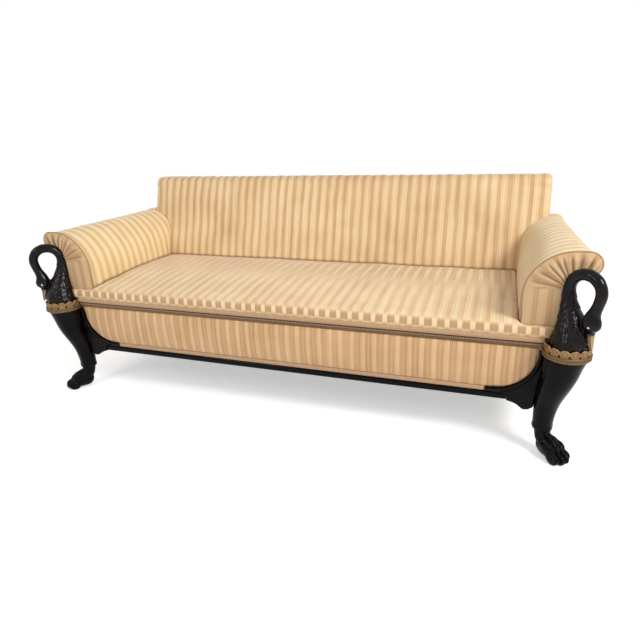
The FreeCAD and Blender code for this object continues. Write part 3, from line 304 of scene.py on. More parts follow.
def stripedSatin(name, look):
    # satin-striped furnishing silk: glossy cream bands on a matte rose-beige ground, fine ribs along the threads
    material, tree, surface = newMaterial(name, **{"Sheen Weight": 0.25, "Sheen Roughness": 0.45,
                                                   "Specular IOR Level": 0.4})
    place = objectPlace(tree)
    if look["across"] in "XYZ":
        across = addNode(tree, "ShaderNodeSeparateXYZ", {"Vector": place}).outputs[look["across"]]
    else:
        across = attribute(tree, look["across"])
    line = worked(tree, "MULTIPLY_ADD", noise(tree, place, 9, 1), look["wander"], across)
    turns = worked(tree, "MULTIPLY", line, 1 / satinWeave["repeat"])
    apart = worked(tree, "SUBTRACT", worked(tree, "FRACT", turns), 0.5)
    apart = worked(tree, "ABSOLUTE", apart)
    satin = shared(tree, apart, *satinWeave["edge"], interpolation_type="SMOOTHSTEP")
    # painted highlight: the middle of each satin band is mixed towards its faded colour as a glint
    middle = shared(tree, apart, satinWeave["glint"], 0.0)
    cloud = noise(tree, place, 6, 3)
    streak = noise(tree, stretched(tree, place, look["grain"]), 120)  # 8 mm streaks
    fade = shared(tree, worked(tree, "ADD", cloud, streak), 0.75, 1.25)
    # painted shade and painted sheen: the attribute turns each band towards its deep colour
    paintedShadeAndSheen = attribute(tree, "paintedShadeAndSheen")
    wide = mixed(tree, fade, look["wide"], look["wideFadedAndGlint"])
    wide = mixed(tree, middle, wide, look["wideFadedAndGlint"])
    wide = mixed(tree, paintedShadeAndSheen, wide, look["wideDeep"])
    narrow = mixed(tree, fade, look["narrow"], look["narrowFaded"])
    narrow = mixed(tree, paintedShadeAndSheen, narrow, look["narrowDeep"])
    ribs = worked(tree, "SINE", worked(tree, "MULTIPLY", turns, 2 * math.pi * satinWeave["ribs"]))
    thread = worked(tree, "MULTIPLY_ADD", ribs, 0.35, noise(tree, place, 260))
    wire(tree, surface, {
        "Base Color": mixed(tree, satin, narrow, wide),
        "Roughness": ranged(tree, satin, 0.82, 0.46),
        "Normal": bumped(tree, thread, 0.22, 0.0005)})
    return material


def wovenCloth(name, dark, light, size, rough=0.8):
    # plain weave: over and under threads of one yarn
    material, tree, surface = newMaterial(name, **{"Roughness": rough, "Sheen Weight": 0.2})
    place = objectPlace(tree)
    split = addNode(tree, "ShaderNodeSeparateXYZ", {"Vector": place})
    waves = []
    for axis in "XYZ":
        turned = worked(tree, "MULTIPLY", split.outputs[axis], 2 * math.pi / size)
        waves.append(worked(tree, "SINE", turned))
    weave = worked(tree, "MULTIPLY_ADD", *waves)
    height = worked(tree, "MULTIPLY_ADD", weave, 0.3, noise(tree, place, 90, 4))
    wire(tree, surface, {
        "Base Color": mixed(tree, height, dark, light),
        "Normal": bumped(tree, height, 0.35, 0.001)})
    return material


def braidThread():
    # silk gimp: dark brown cords with buff knots
    material, tree, surface = newMaterial("brownBraid", **{"Roughness": 0.7, "Sheen Weight": 0.3})
    slub = noise(tree, objectPlace(tree), 420, 3)
    dark = mixed(tree, slub, "#35200F", "#6E4C2C")
    wire(tree, surface, {
        "Base Color": mixed(tree, attribute(tree, "thread"), dark, "#C9A87C"),
        "Normal": bumped(tree, slub, 0.4, 0.0008)})
    return material


def beechFrame():
    # sawn beech: pale brown with short dark flecks along the grain
    material, tree, surface = newMaterial("beechFrame", **{"Roughness": 0.62})
    grain = noise(tree, stretched(tree, objectPlace(tree), (0.15, 1, 1)), 90, 6)
    wire(tree, surface, {
        "Base Color": mixed(tree, grain, "#A97F55", "#D2AC7E"),
        "Normal": bumped(tree, grain, 0.15, 0.0006)})
    return material


def springSteel():
    # drawn steel wire, dull and lightly rusted
    material, tree, surface = newMaterial("springSteel", **{"Metallic": 1.0})
    rust = noise(tree, objectPlace(tree), 60, 5)
    wire(tree, surface, {
        "Base Color": mixed(tree, rust, "#8C8A88", "#6A5040"),
        "Roughness": ranged(tree, rust, 0.3, 0.6)})
    return material


def eyeBead():
    # white glass bead, a little yellowed
    material, tree, surface = newMaterial("eyeBead", **{"Roughness": 0.15, "IOR": 1.5})
    cloud = noise(tree, objectPlace(tree), 300)
    wire(tree, surface, {"Base Color": mixed(tree, cloud, "#F2EEE4", "#FFFFFF")})
    return material


# the painted shade and sheen attribute moves a cloth towards its deep colours: painted sheen where satin is seen
# square on, painted shade in a pleat's valley and painted shadow along a seam; the seat's narrow deep colour is
# lighter, a painted highlight
seatLook = {"across": "X", "grain": (1, 0.03, 0.03), "wander": 0.010,
            "wide": "#D3B78B", "wideFadedAndGlint": "#E4CCA4", "wideDeep": "#AC8357",
            "narrow": "#CBA67A", "narrowFaded": "#DCBC92", "narrowDeep": "#F0D4AC"}
backLook = dict(seatLook, wander=0.007, wide="#D2AE7E", wideFadedAndGlint="#E3C99D", wideDeep="#8A6440",
                narrow="#C0996C", narrowFaded="#D0AD82", narrowDeep="#80593A")
armLook = dict(backLook, across="Y", grain=(0.03, 1, 0.03), wander=0.006,
               wide="#D8BC89", wideFadedAndGlint="#E6D0A3", narrow="#C9A778", narrowFaded="#D6B98C")
# the front panel and the facings are the same silk given darker colours, painted shade on their upright faces; the
# panel's wide bands are painted darker than its ground, a painted turn of the satin's sheen
panelLook = dict(seatLook, wander=0.004, wide="#B48B5E", wideFadedAndGlint="#C9A072", wideDeep="#B68D60",
                 narrow="#CDA579", narrowFaded="#DDB78C", narrowDeep="#D4AD80")
facingLook = dict(seatLook, across="stripe", wander=0.003,
                  wide="#C3A077", wideFadedAndGlint="#CAA97F", wideDeep="#8C6A46",
                  narrow="#B89367", narrowFaded="#BF9B70", narrowDeep="#856440")

blackWood = ebonisedWood("ebonisedSwan", 0.21)
legWood = ebonisedWood("ebonisedLeg", 0.10)
gilding = giltMetal()
seatSilk = stripedSatin("stripedSilkSeat", seatLook)
backSilk = stripedSatin("stripedSilkBack", backLook)
armSilk = stripedSatin("stripedSilkArm", armLook)
panelSilk = stripedSatin("stripedSilkPanel", panelLook)
facingSilk = stripedSatin("stripedSilkFacing", facingLook)
plainSilk = wovenCloth("plainSilk", "#A37E5B", "#C09A76", 0.0024, 0.6)
cordSilk = wovenCloth("pipingSilk", "#8A6A45", "#B08C60", 0.002, 0.6)
brownBraid = braidThread()
pinkGimp = wovenCloth("rosyGimp", "#8E7060", "#C2A392", 0.003)
jute = wovenCloth("juteWebbing", "#8C7048", "#BFA273", 0.004)
lining = wovenCloth("blackLining", "#0E0D0D", "#262322", 0.003)
beech = beechFrame()
steel = springSteel()
beads = eyeBead()
print("finishes made")


# carved corners: s runs out along the corner's diagonal, t across it, in metres
corner = {"middle": (1.012, -0.331), "turn": 42.0}


def cornerPlaces(places):
    turn = math.radians(corner["turn"])
    dx = places[:, 0] - corner["middle"][0]
    dy = places[:, 1] - corner["middle"][1]
    return dx * math.cos(turn) - dy * math.sin(turn), dx * math.sin(turn) + dy * math.cos(turn), places[:, 2]


swanCarving = {
    "voxel": 0.0028,
    "rows": 0.034,            # feather length that shows
    "around": 10,
    "lift": 0.0038,           # raised feather tips
    "cheek": 0.0045,
    "from": 0.425,
    "to": 0.600,
    # height, s and t of the breast's middle, half widths along and across
    "breast": ((0.395, 0.0435, -0.006, 0.0655, 0.0655), (0.430, 0.047, -0.005, 0.061, 0.0625),
               (0.460, 0.0485, -0.003, 0.057, 0.058), (0.490, 0.045, -0.001, 0.0485, 0.049),
               (0.520, 0.038, 0.0, 0.0395, 0.040), (0.550, 0.028, 0.001, 0.0295, 0.031),
               (0.580, 0.0205, 0.002, 0.0225, 0.024), (0.607, 0.017, 0.002, 0.0195, 0.0205)),
}


def featherField(around, down):
    # each feather runs down over the roots of the next row; the value is its rise towards the tip
    row = np.floor(down)
    result = np.zeros(len(down))
    spine = np.zeros(len(down))
    taken = np.zeros(len(down), bool)
    for back in (1, 0):
        k = row - back
        drop = down - k
        side = np.mod(around + 0.5 * np.mod(k, 2), 1) - 0.5
        reach = 0.52 * np.sqrt(np.clip(1 - np.clip(drop - 0.55, 0, None) ** 2, 0, 1))
        here = (~taken) & (np.abs(side) < reach) if back else ~taken
        result[here] = drop[here] / 1.55
        spine[here] = side[here]
        taken |= here
    return result, spine


def carveSwan(settings):
    piece = nodeCopy("swanRight", "swan_right", settings["voxel"], 4)
    subdivide(piece)
    places, normals = readShape(piece)
    s, t, z = cornerPlaces(places)
    table = np.array(settings["breast"])
    midS, midT, along, across = (np.interp(z, table[:, 0], table[:, i]) for i in (1, 2, 3, 4))
    out = np.hypot((s - midS) / along, (t - midT) / across)
    angle = np.arctan2(t - midT, s - midS)
    plumage = ease(settings["to"] + 0.03, settings["to"] - 0.035, z) * ease(1.16, 1.06, out)
    plumage *= ease(settings["from"] - 0.01, settings["from"] + 0.005, z)
    down = (settings["to"] - z) / settings["rows"] + 0.12 * np.sin(angle * 3 + 1) + 4
    feather, side = featherField(angle * settings["around"] / (2 * math.pi), down)
    barbs = 0.5 + 0.5 * np.cos(np.abs(side) * 22 - down * 12)
    lift = feather * (1 - 0.6 * side ** 2) - 0.22 * np.exp(-(side / 0.07) ** 2) - 0.10 * barbs
    moved = settings["lift"] * plumage * (lift - 0.4)
    # bill with a dull gilt face, a dark line between its halves
    bill = ease(0.488, 0.478, z) * ease(0.095, 0.105, s) * ease(0.035, 0.025, np.abs(t - 0.002))
    bill *= ease(1.07, 1.13, out)
    mouth = np.exp(-((s - 0.1165 - 0.15 * (0.46 - z)) / 0.0014) ** 2) * bill
    moved -= 0.0012 * mouth
    cheek = np.exp(-((z - 0.527) / 0.026) ** 2) * ease(0.080, 0.094, s) * ease(1.05, 1.15, out)
    moved += settings["cheek"] * cheek
    places += normals * moved[:, None]
    writeShape(piece, places)
    relax(piece, 1)
    relax(piece, 12, settings["to"] + 0.015)
    paint(piece, "wear", np.clip(0.25 + plumage * (feather - 0.3) + 0.3 * ripple(places, 0.09, 3), 0, 1))
    paint(piece, "gild", np.clip(bill * (1 - mouth), 0, 1))
    return piece


legCarving = {"voxel": 0.0034, "cuff": 0.099, "pawT": -0.020, "tendon": 0.0042}


def carveLeg(settings):
    piece = nodeCopy("pawLegRight", "front_leg_right", settings["voxel"], 3)
    subdivide(piece)
    places, normals = readShape(piece)
    s, t, z = cornerPlaces(places)
    angle = np.arctan2(t - settings["pawT"], s + 0.001)
    # cuff of fur over the ankle, with an undercut below it
    edge = settings["cuff"] + 0.004 * np.cos(angle * 7 + 0.6) + 0.002 * np.cos(angle * 15)
    moved = 0.0034 * np.exp(-((z - edge - 0.006) / 0.008) ** 2)
    moved -= 0.0026 * np.exp(-((z - edge + 0.006) / 0.0045) ** 2)
    fur = ease(edge, edge + 0.01, z) * ease(edge + 0.085, edge + 0.02, z)
    moved -= 0.0008 * fur * (0.5 + 0.5 * np.cos(angle * 34 + 6 * np.sin(z * 60)))
    # tendons run down the paw to the knuckles, with grooves between the toes
    pitch = np.clip(0.0125 + 0.113 * (s - 0.02), 0.010, 0.020)
    acrossPaw = (t - settings["pawT"]) / pitch
    ridge = np.cos(2 * math.pi * (acrossPaw - 0.5))
    top = ease(0.0, 0.35, normals[:, 2])
    tendon = ease(0.002, 0.018, s) * ease(0.070, 0.060, s) * ease(0.094, 0.086, z) * ease(0.035, 0.05, z)
    moved += settings["tendon"] * tendon * (0.35 + 0.65 * top) * ridge
    groove = ease(0.045, 0.06, s) * ease(0.062, 0.05, z) * np.clip(-ridge, 0, 1) ** 3
    moved -= 0.0040 * groove
    places += normals * moved[:, None]
    places[:, 2] = np.maximum(places[:, 2], 0)
    writeShape(piece, places)
    paint(piece, "wear", np.clip(0.12 + 0.5 * tendon * np.clip(ridge, 0, 1) + 0.3 * ripple(places, 0.12, 5), 0, 1))
    paint(piece, "gild", np.zeros(len(places)))
    return piece


bracketCarving = {"voxel": 0.0026, "arcMiddle": (0.820, 0.372), "arc": 0.140, "lift": 0.0036}


def carveBracket(settings):
    piece = nodeCopy("wingBracketRight", "wing_bracket_right", settings["voxel"], 5)
    subdivide(piece)
    places, normals = readShape(piece)
    dx = places[:, 0] - settings["arcMiddle"][0]
    dz = places[:, 2] - settings["arcMiddle"][1]
    below = places[:, 2] < settings["arcMiddle"][1]
    away = np.where(below & (dx > 0), np.hypot(dx, dz), np.where(dx > 0, dx, -dz)) - settings["arc"]
    run = np.where(dx > 0, np.arctan2(-dz, np.maximum(dx, 1e-6)) * settings["arc"],
                   settings["arc"] * math.pi / 2 - dx)
    front = ease(0.3, 0.8, -normals[:, 1])
    rim = np.exp(-((away - 0.006) / 0.0045) ** 2) - 0.8 * np.exp(-((away - 0.014) / 0.003) ** 2)
    feather, side = featherField((away - 0.014) / 0.0135, run / 0.046 + 3)
    vane = ease(0.015, 0.019, away)
    lift = feather * (1 - 1.1 * side ** 2) - 0.3 * np.exp(-(side / 0.07) ** 2)
    moved = front * (0.0024 * rim + settings["lift"] * vane * (lift - 0.35))
    places += normals * moved[:, None]
    writeShape(piece, places)
    paint(piece, "wear", np.clip(front * (0.5 * rim + 0.5 * vane * feather), 0, 1))
    paint(piece, "gild", np.zeros(len(places)))
    return piece


collarCarving = {"voxel": 0.0016, "middle": (0.0435, -0.006), "scallops": 14, "petal": 0.0165,
                 "band": (0.388, 0.408), "top": 0.434, "beads": 66}


def carveCollar(settings):
    piece = nodeCopy("giltCollarRight", "collar_right", settings["voxel"], 2)
    places, normals = readShape(piece)
    s, t, z = cornerPlaces(places)
    angle = np.arctan2(t - settings["middle"][1], s - settings["middle"][0])
    # the node's scallops start on the row's X axis
    turned = angle - math.radians(corner["turn"])
    pitch = 2 * math.pi / settings["scallops"]
    part = np.mod(turned / pitch + 0.5, 1) - 0.5
    radius = np.hypot(s - settings["middle"][0], t - settings["middle"][1])
    outer = ease(0.0688, 0.0700, radius)
    low, high = settings["band"]
    rows = np.abs(np.mod((z - low) / 0.010, 1) - 0.5)
    bead = np.cos(angle * settings["beads"]) * ease(0.42, 0.2, rows) * ease(high + 0.001, high - 0.001, z)
    moved = 0.0009 * bead * outer
    shell = z > high
    down = (settings["top"] - settings["petal"] - z) / settings["petal"]
    petal = np.hypot(part * 2, down)
    rim = np.exp(-((petal - 0.80) / 0.13) ** 2) * shell
    flutes = np.cos(np.arctan2(part * 2, -(down - 1.0)) * 9) * ease(0.75, 0.6, petal) * shell
    hole = np.exp(-(((np.abs(part) - 0.5) * 2 / 0.24) ** 2 + ((z - high - 0.004) / 0.003) ** 2))
    moved += outer * (0.0013 * rim + 0.0008 * flutes - 0.0030 * hole)
    places += normals * moved[:, None]
    writeShape(piece, places)
    # dark of the gold: patina in the grooves, flutes and between beads, deepened by painted shade; painted shade
    # alone over the band below the shell and in the holes between the scallops
    grooves = 0.55 * np.exp(-((z - high) / 0.0015) ** 2) + 0.5 * np.exp(-((z - low - 0.010) / 0.0013) ** 2)
    dark = 0.28 * (z < high) + 1.4 * hole + grooves
    dark += 0.3 * np.clip(-flutes, 0, 1) + 0.35 * np.clip(-bead, 0, 1)
    paint(piece, "hollowPatinaAndShade", outer * np.clip(dark, 0, 1))
    return piece


for carve, settings, node, finish, slot in (
        (carveSwan, swanCarving, "swan", blackWood, "ebonised_wood"),
        (carveLeg, legCarving, "front_leg", legWood, "ebonised_wood"),
        (carveBracket, bracketCarving, "wing_bracket", legWood, "ebonised_wood"),
        (carveCollar, collarCarving, "collar", gilding, "gilt_metal")):
    carved = carve(settings)
    settle(mirrored(carved, carved.name.replace("Right", "Left")), finish, slot, node + "_left")
    settle(carved, finish, slot, node + "_right")
    print(node, "carved,", len(carved.data.vertices), "points")


# upholstery: each pad is swelled by cloth pressure from its frame side
armFace = 0.888                   # inner face of the right arm
clothRun = {"frames": 20, "quality": 4, "mass": 0.4, "shear": 0.4, "bending": 1.5}


def backFace(z):
    # y of the leaning front of the back
    return 0.246 + (z - 0.517) * 0.3172


def puffUp(piece, held, settings):
    places, normals = readShape(piece)
    free = 1 - held
    start = places - normals * (settings["slack"] * free)[:, None]
    writeShape(piece, start)
    group = piece.vertex_groups.new(name="held")
    for i in np.nonzero(held > 0.02)[0]:
        group.add([int(i)], float(held[i]), "REPLACE")
    cloth = piece.modifiers.new("cloth", "CLOTH")
    cloth.settings.quality = clothRun["quality"]
    cloth.settings.mass = clothRun["mass"]
    cloth.settings.tension_stiffness = settings["stiff"]
    cloth.settings.compression_stiffness = settings["stiff"]
    cloth.settings.shear_stiffness = settings["stiff"] * clothRun["shear"]
    cloth.settings.bending_stiffness = clothRun["bending"]
    cloth.settings.use_pressure = True
    cloth.settings.uniform_pressure_force = settings["pressure"]
    cloth.settings.vertex_group_mass = "held"
    cloth.settings.effector_weights.gravity = 0
    cloth.collision_settings.use_collision = False
    for number in range(1, clothRun["frames"] + 1):
        scene.frame_set(number)
    graph = bpy.context.evaluated_depsgraph_get()
    swelled = np.zeros(len(places) * 3)
    piece.evaluated_get(graph).data.vertices.foreach_get("co", swelled)
    move = swelled.reshape(-1, 3) - start
    size = np.linalg.norm(move, axis=1)
    move *= np.minimum(1, settings["cap"] / np.maximum(size, 1e-9))[:, None]
    piece.modifiers.clear()
    piece.vertex_groups.clear()
    scene.frame_set(1)
    writeShape(piece, start + move)
    print(piece.name, "swelled by", round(float(size.max()) * 1000, 1), "mm at most")


seatPadding = {"voxel": 0.0095, "slack": 0.004, "pressure": 4.0, "stiff": 12.0, "cap": 0.024,
               "earLonger": 0.54, "earHigher": 0.004}


def makeSeat(settings):
    piece = nodeCopy("seatPad", "seat_pad", settings["voxel"], 3)
    places = readShape(piece)[0]
    x, y, z = places.T
    held = np.maximum(ease(0.448, 0.440, z), ease(0.215, 0.230, y - (z - 0.517) * 0.317))
    held = np.maximum(held, ease(0.872, 0.884, np.abs(x)) * ease(-0.335, -0.32, y))
    held = np.maximum(held, ease(-0.255, -0.315, y))
    puffUp(piece, held, settings)
    subdivide(piece)
    piece.data.shade_smooth()
    places, normals = readShape(piece)
    top = ease(0.3, 0.9, normals[:, 2])
    places[:, 2] += top * 0.0016 * ripple(places * (1, 1, 0), 0.21, 2)
    # the ears run on to the swans, over the collars
    out = np.clip(np.abs(places[:, 0]) - armFace, 0, None)
    ear = ease(-0.326, -0.334, places[:, 1])
    places[:, 0] += np.sign(places[:, 0]) * out * settings["earLonger"] * ear * ease(0.430, 0.440, places[:, 2])
    places[:, 2] += settings["earHigher"] * ear * ease(0.0, 0.04, out) * ease(0.450, 0.478, places[:, 2])
    writeShape(piece, places)
    # painted sheen: over the rear of the seat the satin's bands turn towards their deep colours
    rear = 0.45 * ease(-0.16, 0.08, places[:, 1]) * top
    # painted sheen: the dark squares, where the wide bands darken and the narrow bands lighten, sit low on the
    # front roll
    low = ease(0.483, 0.468, places[:, 2]) * ease(0.443, 0.450, places[:, 2])
    paint(piece, "paintedShadeAndSheen", np.maximum(0.78 * ease(0.5, 0.85, -normals[:, 1]) * low, rear))
    settle(piece, seatSilk, "striped_satin", "seat_pad")
    return piece


def seamShade(places, seat):
    # painted shadow along the line where a pad presses on the seat
    corners = readShape(seat)[0]
    tree = KDTree(len(corners))
    for i, place in enumerate(corners):
        tree.insert(place, i)
    tree.balance()
    return 0.8 * ease(0.014, 0.003, np.array([tree.find(place)[2] for place in places]))


backPadding = {"voxel": 0.0105, "slack": 0.004, "pressure": 3.0, "stiff": 12.0, "cap": 0.024}


def makeBack(settings, seat):
    piece = nodeCopy("backPad", "back_pad", settings["voxel"], 3)
    places = readShape(piece)[0]
    x, y, z = places.T
    behind = y - backFace(z)
    held = np.maximum(ease(0.028, 0.040, behind) * ease(0.88, 0.86, z), ease(0.430, 0.415, z))
    held = np.maximum(held, ease(0.990, 0.998, np.abs(x)))
    held = np.maximum(held, np.maximum(ease(0.075, 0.083, behind), ease(0.850, 0.880, z)))
    puffUp(piece, held, settings)
    subdivide(piece)
    piece.data.shade_smooth()
    places, normals = readShape(piece)
    front = ease(0.3, 0.9, -normals[:, 1])
    places += normals * (front * 0.0014 * ripple(places * (1, 0, 1), 0.26, 7))[:, None]
    turned = ease(0.868, 0.896, places[:, 2])
    places += normals * (turned * 0.0014 * ripple(places * (1, 0.3, 0.3), 0.055, 11))[:, None]
    writeShape(piece, places)
    # painted shadow along the seam with the seat, and painted shade over the top roll
    paint(piece, "paintedShadeAndSheen", np.maximum(seamShade(places, seat), 0.2 * turned))
    settle(piece, backSilk, "striped_satin", "back_pad")


# the pairs are the front's and the rear's figures
armPadding = {"voxel": 0.0081, "slack": 0.004, "pressure": 3.0, "stiff": 14.0, "cap": 0.016,
              "front": -0.326, "long": 0.680, "roll": (0.157, 0.136), "lipX": (1.072, 1.027),
              "lip": (0.040, 0.030), "top": 0.725, "rise": 0.023, "rim": 0.0025}


def armInset(places, settings):
    # depth of a point under the arm's outer face
    x, y, z = places.T
    share = (y - settings["front"]) / settings["long"]
    ends = (settings[key] for key in ("roll", "lipX", "lip"))
    roll, lipX, lip = (front + (rear - front) * share for front, rear in ends)
    top = settings["top"] + (y - settings["front"]) * settings["rise"]
    rollX = armFace + roll
    side = x - armFace
    over = roll - np.hypot(x - rollX, z - (top - roll))
    lipDepth = lip - np.hypot(x - lipX, z - (top - lip))
    return np.where(x > lipX, lipDepth, np.where(x > rollX, top - z, np.where(z > top - roll, over, side)))


def makeArms(settings, seat):
    piece = nodeCopy("armPadRight", "arm_pad_right", settings["voxel"], 4)
    places = readShape(piece)[0]
    x, y, z = places.T
    held = ease(0.004, 0.010, armInset(places, settings))
    held = np.maximum(held, ease(0.470, 0.450, z) * ease(1.0, 0.95, x))
    held = np.maximum(held, ease(settings["front"] + 0.006, settings["front"] + 0.001, y))
    held = np.maximum(held, ease(-0.02, -0.004, y - backFace(z)))
    puffUp(piece, held, settings)
    subdivide(piece)
    piece.data.shade_smooth()
    places, normals = readShape(piece)
    face = ease(0.004, 0.001, armInset(places, settings))
    places += normals * (0.0010 * face * ripple(places, 0.16, 4))[:, None]
    rim = ease(settings["front"] + 0.05, settings["front"], places[:, 1])
    rim *= ease(0.012, 0.004, armInset(places, settings))
    places += normals * (1, 0, 1) * (settings["rim"] * rim)[:, None]
    writeShape(piece, places)
    # painted shadow along the seam with the seat
    paint(piece, "paintedShadeAndSheen", seamShade(places, seat))
    paddedPair(piece, armSilk, "striped_satin", 0.7, "arm_pad")


facingPleats = {"voxel": 0.0033, "eye": (1.040, 0.600), "count": 13, "depth": 0.0085,
                "from": 0.560, "foot": 0.406, "rim": 0.0045}


def makeFacings(settings):
    # gathered front of the arm: pleats fan out from the swan's neck, the foot is drawn down behind the seat
    piece = nodeCopy("armFacingRight", "arm_facing_right", settings["voxel"], 2)
    places = readShape(piece)[0]
    low = places[:, 2].min()
    under = np.clip(settings["from"] - places[:, 2], 0, None)
    places[:, 2] -= under * ((settings["from"] - settings["foot"]) / (settings["from"] - low) - 1)
    writeShape(piece, places)
    subdivide(piece)
    places, normals = readShape(piece)
    x, z = places[:, 0], places[:, 2]
    dx, dz = x - settings["eye"][0], z - settings["eye"][1]
    angle = np.arctan2(dz, -dx)                  # 0 at the inside of the arm, rising over the arch
    front = ease(0.2, 0.7, -normals[:, 1])
    arch = ease(-0.02, 0.22, angle)
    waves = angle * settings["count"] / math.pi + 0.22 * np.sin(angle * 5 + 1) + 0.06 * np.sin(angle * 17)
    fold = np.abs(np.sin(math.pi * waves)) ** 0.9
    deep = 0.75 + 0.25 * np.sin(angle * 9 + 2)
    inset = armInset(places * (1, 0, 1) + np.array((0, armPadding["front"], 0)), armPadding)
    edge = ease(0.002, 0.030, inset)
    rim = ease(0.016, 0.004, inset) * ease(0.50, 0.56, z)
    places += normals * (1, 0, 1) * (settings["rim"] * rim)[:, None]
    places[:, 1] -= front * edge * (arch * deep * settings["depth"] * (fold - 0.25) + 0.003)
    writeShape(piece, places)
    paint(piece, "stripe", 0.13 * np.clip(angle, 0, None) * arch + (x - armFace) * (1 - arch))
    # painted shade in the valleys of the pleats
    paint(piece, "paintedShadeAndSheen", front * arch * edge * (1 - fold) ** 1.5)
    piece.data.shade_smooth()
    paddedPair(piece, facingSilk, "striped_satin", 0.4, "arm_facing")


panelPadding = {"voxel": 0.008, "dome": 0.006, "half": 0.960, "low": 0.232, "high": 0.400, "corner": 0.140}


def makeFrontPanel(settings):
    piece = nodeCopy("frontPanel", "front_panel", settings["voxel"], 2)
    places, normals = readShape(piece)
    x, z = places[:, 0], places[:, 2]
    inX = settings["half"] - np.abs(x)
    inLow = z - settings["low"]
    cornerX, cornerZ = settings["corner"] - inX, settings["corner"] - inLow
    rounded = settings["corner"] - np.hypot(cornerX, cornerZ)
    inside = np.where((cornerX > 0) & (cornerZ > 0), rounded, np.minimum(inX, inLow))
    inside = np.minimum(inside, settings["high"] - z)
    front = ease(0.0, 0.5, -normals[:, 1])
    places[:, 1] -= front * settings["dome"] * (ease(0.0, 0.05, inside) - 0.55 * ease(0.008, 0.0, inside))
    places[:, 1] -= front * 0.0010 * ripple(places * (1, 0, 1), 0.17, 9)
    writeShape(piece, places)
    subdivide(piece)
    piece.data.shade_smooth()
    settle(piece, panelSilk, "striped_satin", "front_panel")


def toCollars(places):
    # the seat's trimmings are drawn out to the collars
    places[:, 0] += np.sign(places[:, 0]) * 0.65 * np.clip(np.abs(places[:, 0]) - 0.930, 0, None)


weltRoll = {"voxel": 0.0035, "gather": 0.0004, "pitch": 0.019}


def makeWelts(settings):
    # rolled edges, a little uneven where the cloth is gathered over the cord
    for name, node in (("seatWelt", "seat_welt"), ("frontPanelWelt", "front_panel_welt")):
        piece = nodeCopy(name, node, settings["voxel"], 4)
        places, normals = readShape(piece)
        if node == "seat_welt":
            toCollars(places)
        pull = np.sin(places[:, 0] * 2 * math.pi / settings["pitch"] + 2 * ripple(places * (1, 0, 0), 0.13, 6))
        places += normals * (settings["gather"] * pull * ease(0.1, 0.6, -normals[:, 1]))[:, None]
        writeShape(piece, places)
        settle(piece, plainSilk, "plain_satin", node)


braidWork = {"voxel": 0.0026, "pitch": 0.0075, "lift": 0.0013}


def makeBraid(settings):
    # gimp of two wavy cords with a light knot in each wave
    piece = nodeCopy("seatBraid", "seat_braid", settings["voxel"], 2)
    subdivide(piece)
    places, normals = readShape(piece)
    toCollars(places)
    low, high = places[:, 2].min(), places[:, 2].max()
    up = (places[:, 2] - low) / (high - low) * 2 - 1
    turn = places[:, 0] * 2 * math.pi / settings["pitch"]
    front = ease(0.2, 0.7, -normals[:, 1])
    wave = 0.62 + 0.16 * np.cos(turn)
    cords = np.exp(-((up - wave) / 0.22) ** 2) + np.exp(-((up + wave) / 0.22) ** 2)
    knots = np.exp(-(up / 0.34) ** 2) * (0.5 + 0.5 * np.cos(turn)) ** 2
    places += normals * (settings["lift"] * front * (cords + 1.2 * knots - 0.5))[:, None]
    writeShape(piece, places)
    paint(piece, "thread", np.clip(front * knots * 1.3, 0, 1))
    piece.data.shade_smooth()
    settle(piece, brownBraid, "brown_braid", "seat_braid")


pipingTwist = {"voxel": 0.0016, "eye": (1.045, 0.568), "radius": 0.157, "twist": 0.0003,
               "pitch": 0.007, "thinner": 0.0003}


def makePiping(settings):
    # corded piping round the arm's front edge, with the lay of its cord showing
    piece = nodeCopy("armPipingRight", "arm_piping_right", settings["voxel"], 2)
    places, normals = readShape(piece)
    dx, dz = places[:, 0] - settings["eye"][0], places[:, 2] - settings["eye"][1]
    run = np.where(dz > 0, np.arctan2(dz, -dx) * settings["radius"], dz)
    roll = np.arctan2(normals[:, 1], -normals[:, 0] + 1e-9)
    lay = np.cos(run * 2 * math.pi / settings["pitch"] + roll * 2)
    places += normals * (settings["twist"] * lay - settings["thinner"])[:, None]
    writeShape(piece, places)
    paddedPair(piece, cordSilk, "brown_braid", 0.9, "arm_piping")


gimpBand = {"depth": 0.0032, "plane": -0.3355, "bend": (0.0705, 0.612, 0.0535, 0.0188)}


def makeGimps(settings):
    # narrow woven trimming that covers the tacks where the facing meets the swan
    turn = math.radians(corner["turn"])
    table = np.array(swanCarving["breast"])
    line = []
    for height in np.linspace(0.440, 0.607, 26):
        midS, midT, along, across = (np.interp(height, table[:, 0], table[:, i]) for i in (1, 2, 3, 4))
        line.append((midS, midT, height, (along + across) / 2))
    bendS, bendZ, bendR, neck = settings["bend"]
    for angle in np.radians(np.linspace(174, 128, 10)):
        line.append((bendS + bendR * math.cos(angle), 0.002, bendZ + bendR * math.sin(angle), neck))
    path = []
    for s, t, z, radius in line:
        x = corner["middle"][0] + s * math.cos(turn) + t * math.sin(turn)
        y = corner["middle"][1] - s * math.sin(turn) + t * math.cos(turn)
        gap = settings["plane"] - y
        if abs(gap) < radius:
            path.append((x - math.sqrt(radius ** 2 - gap ** 2) - 0.0015, settings["plane"], z))
    curve = bpy.data.curves.new("gimpRight", "CURVE")
    curve.dimensions = "3D"
    curve.bevel_depth = settings["depth"]
    curve.bevel_resolution = 3
    curve.use_fill_caps = True
    spline = curve.splines.new("POLY")
    spline.points.add(len(path) - 1)
    for point, place in zip(spline.points, path):
        point.co = (*place, 1)
    piece = newPiece("gimpRight", curve)
    graph = bpy.context.evaluated_depsgraph_get()
    mesh = bpy.data.meshes.new_from_object(piece.evaluated_get(graph))
    bpy.data.objects.remove(piece)
    piece = newPiece("gimpRight", mesh)
    subdivide(piece)
    piece.data.shade_smooth()
    paddedPair(piece, pinkGimp, "brown_braid", 0.9)


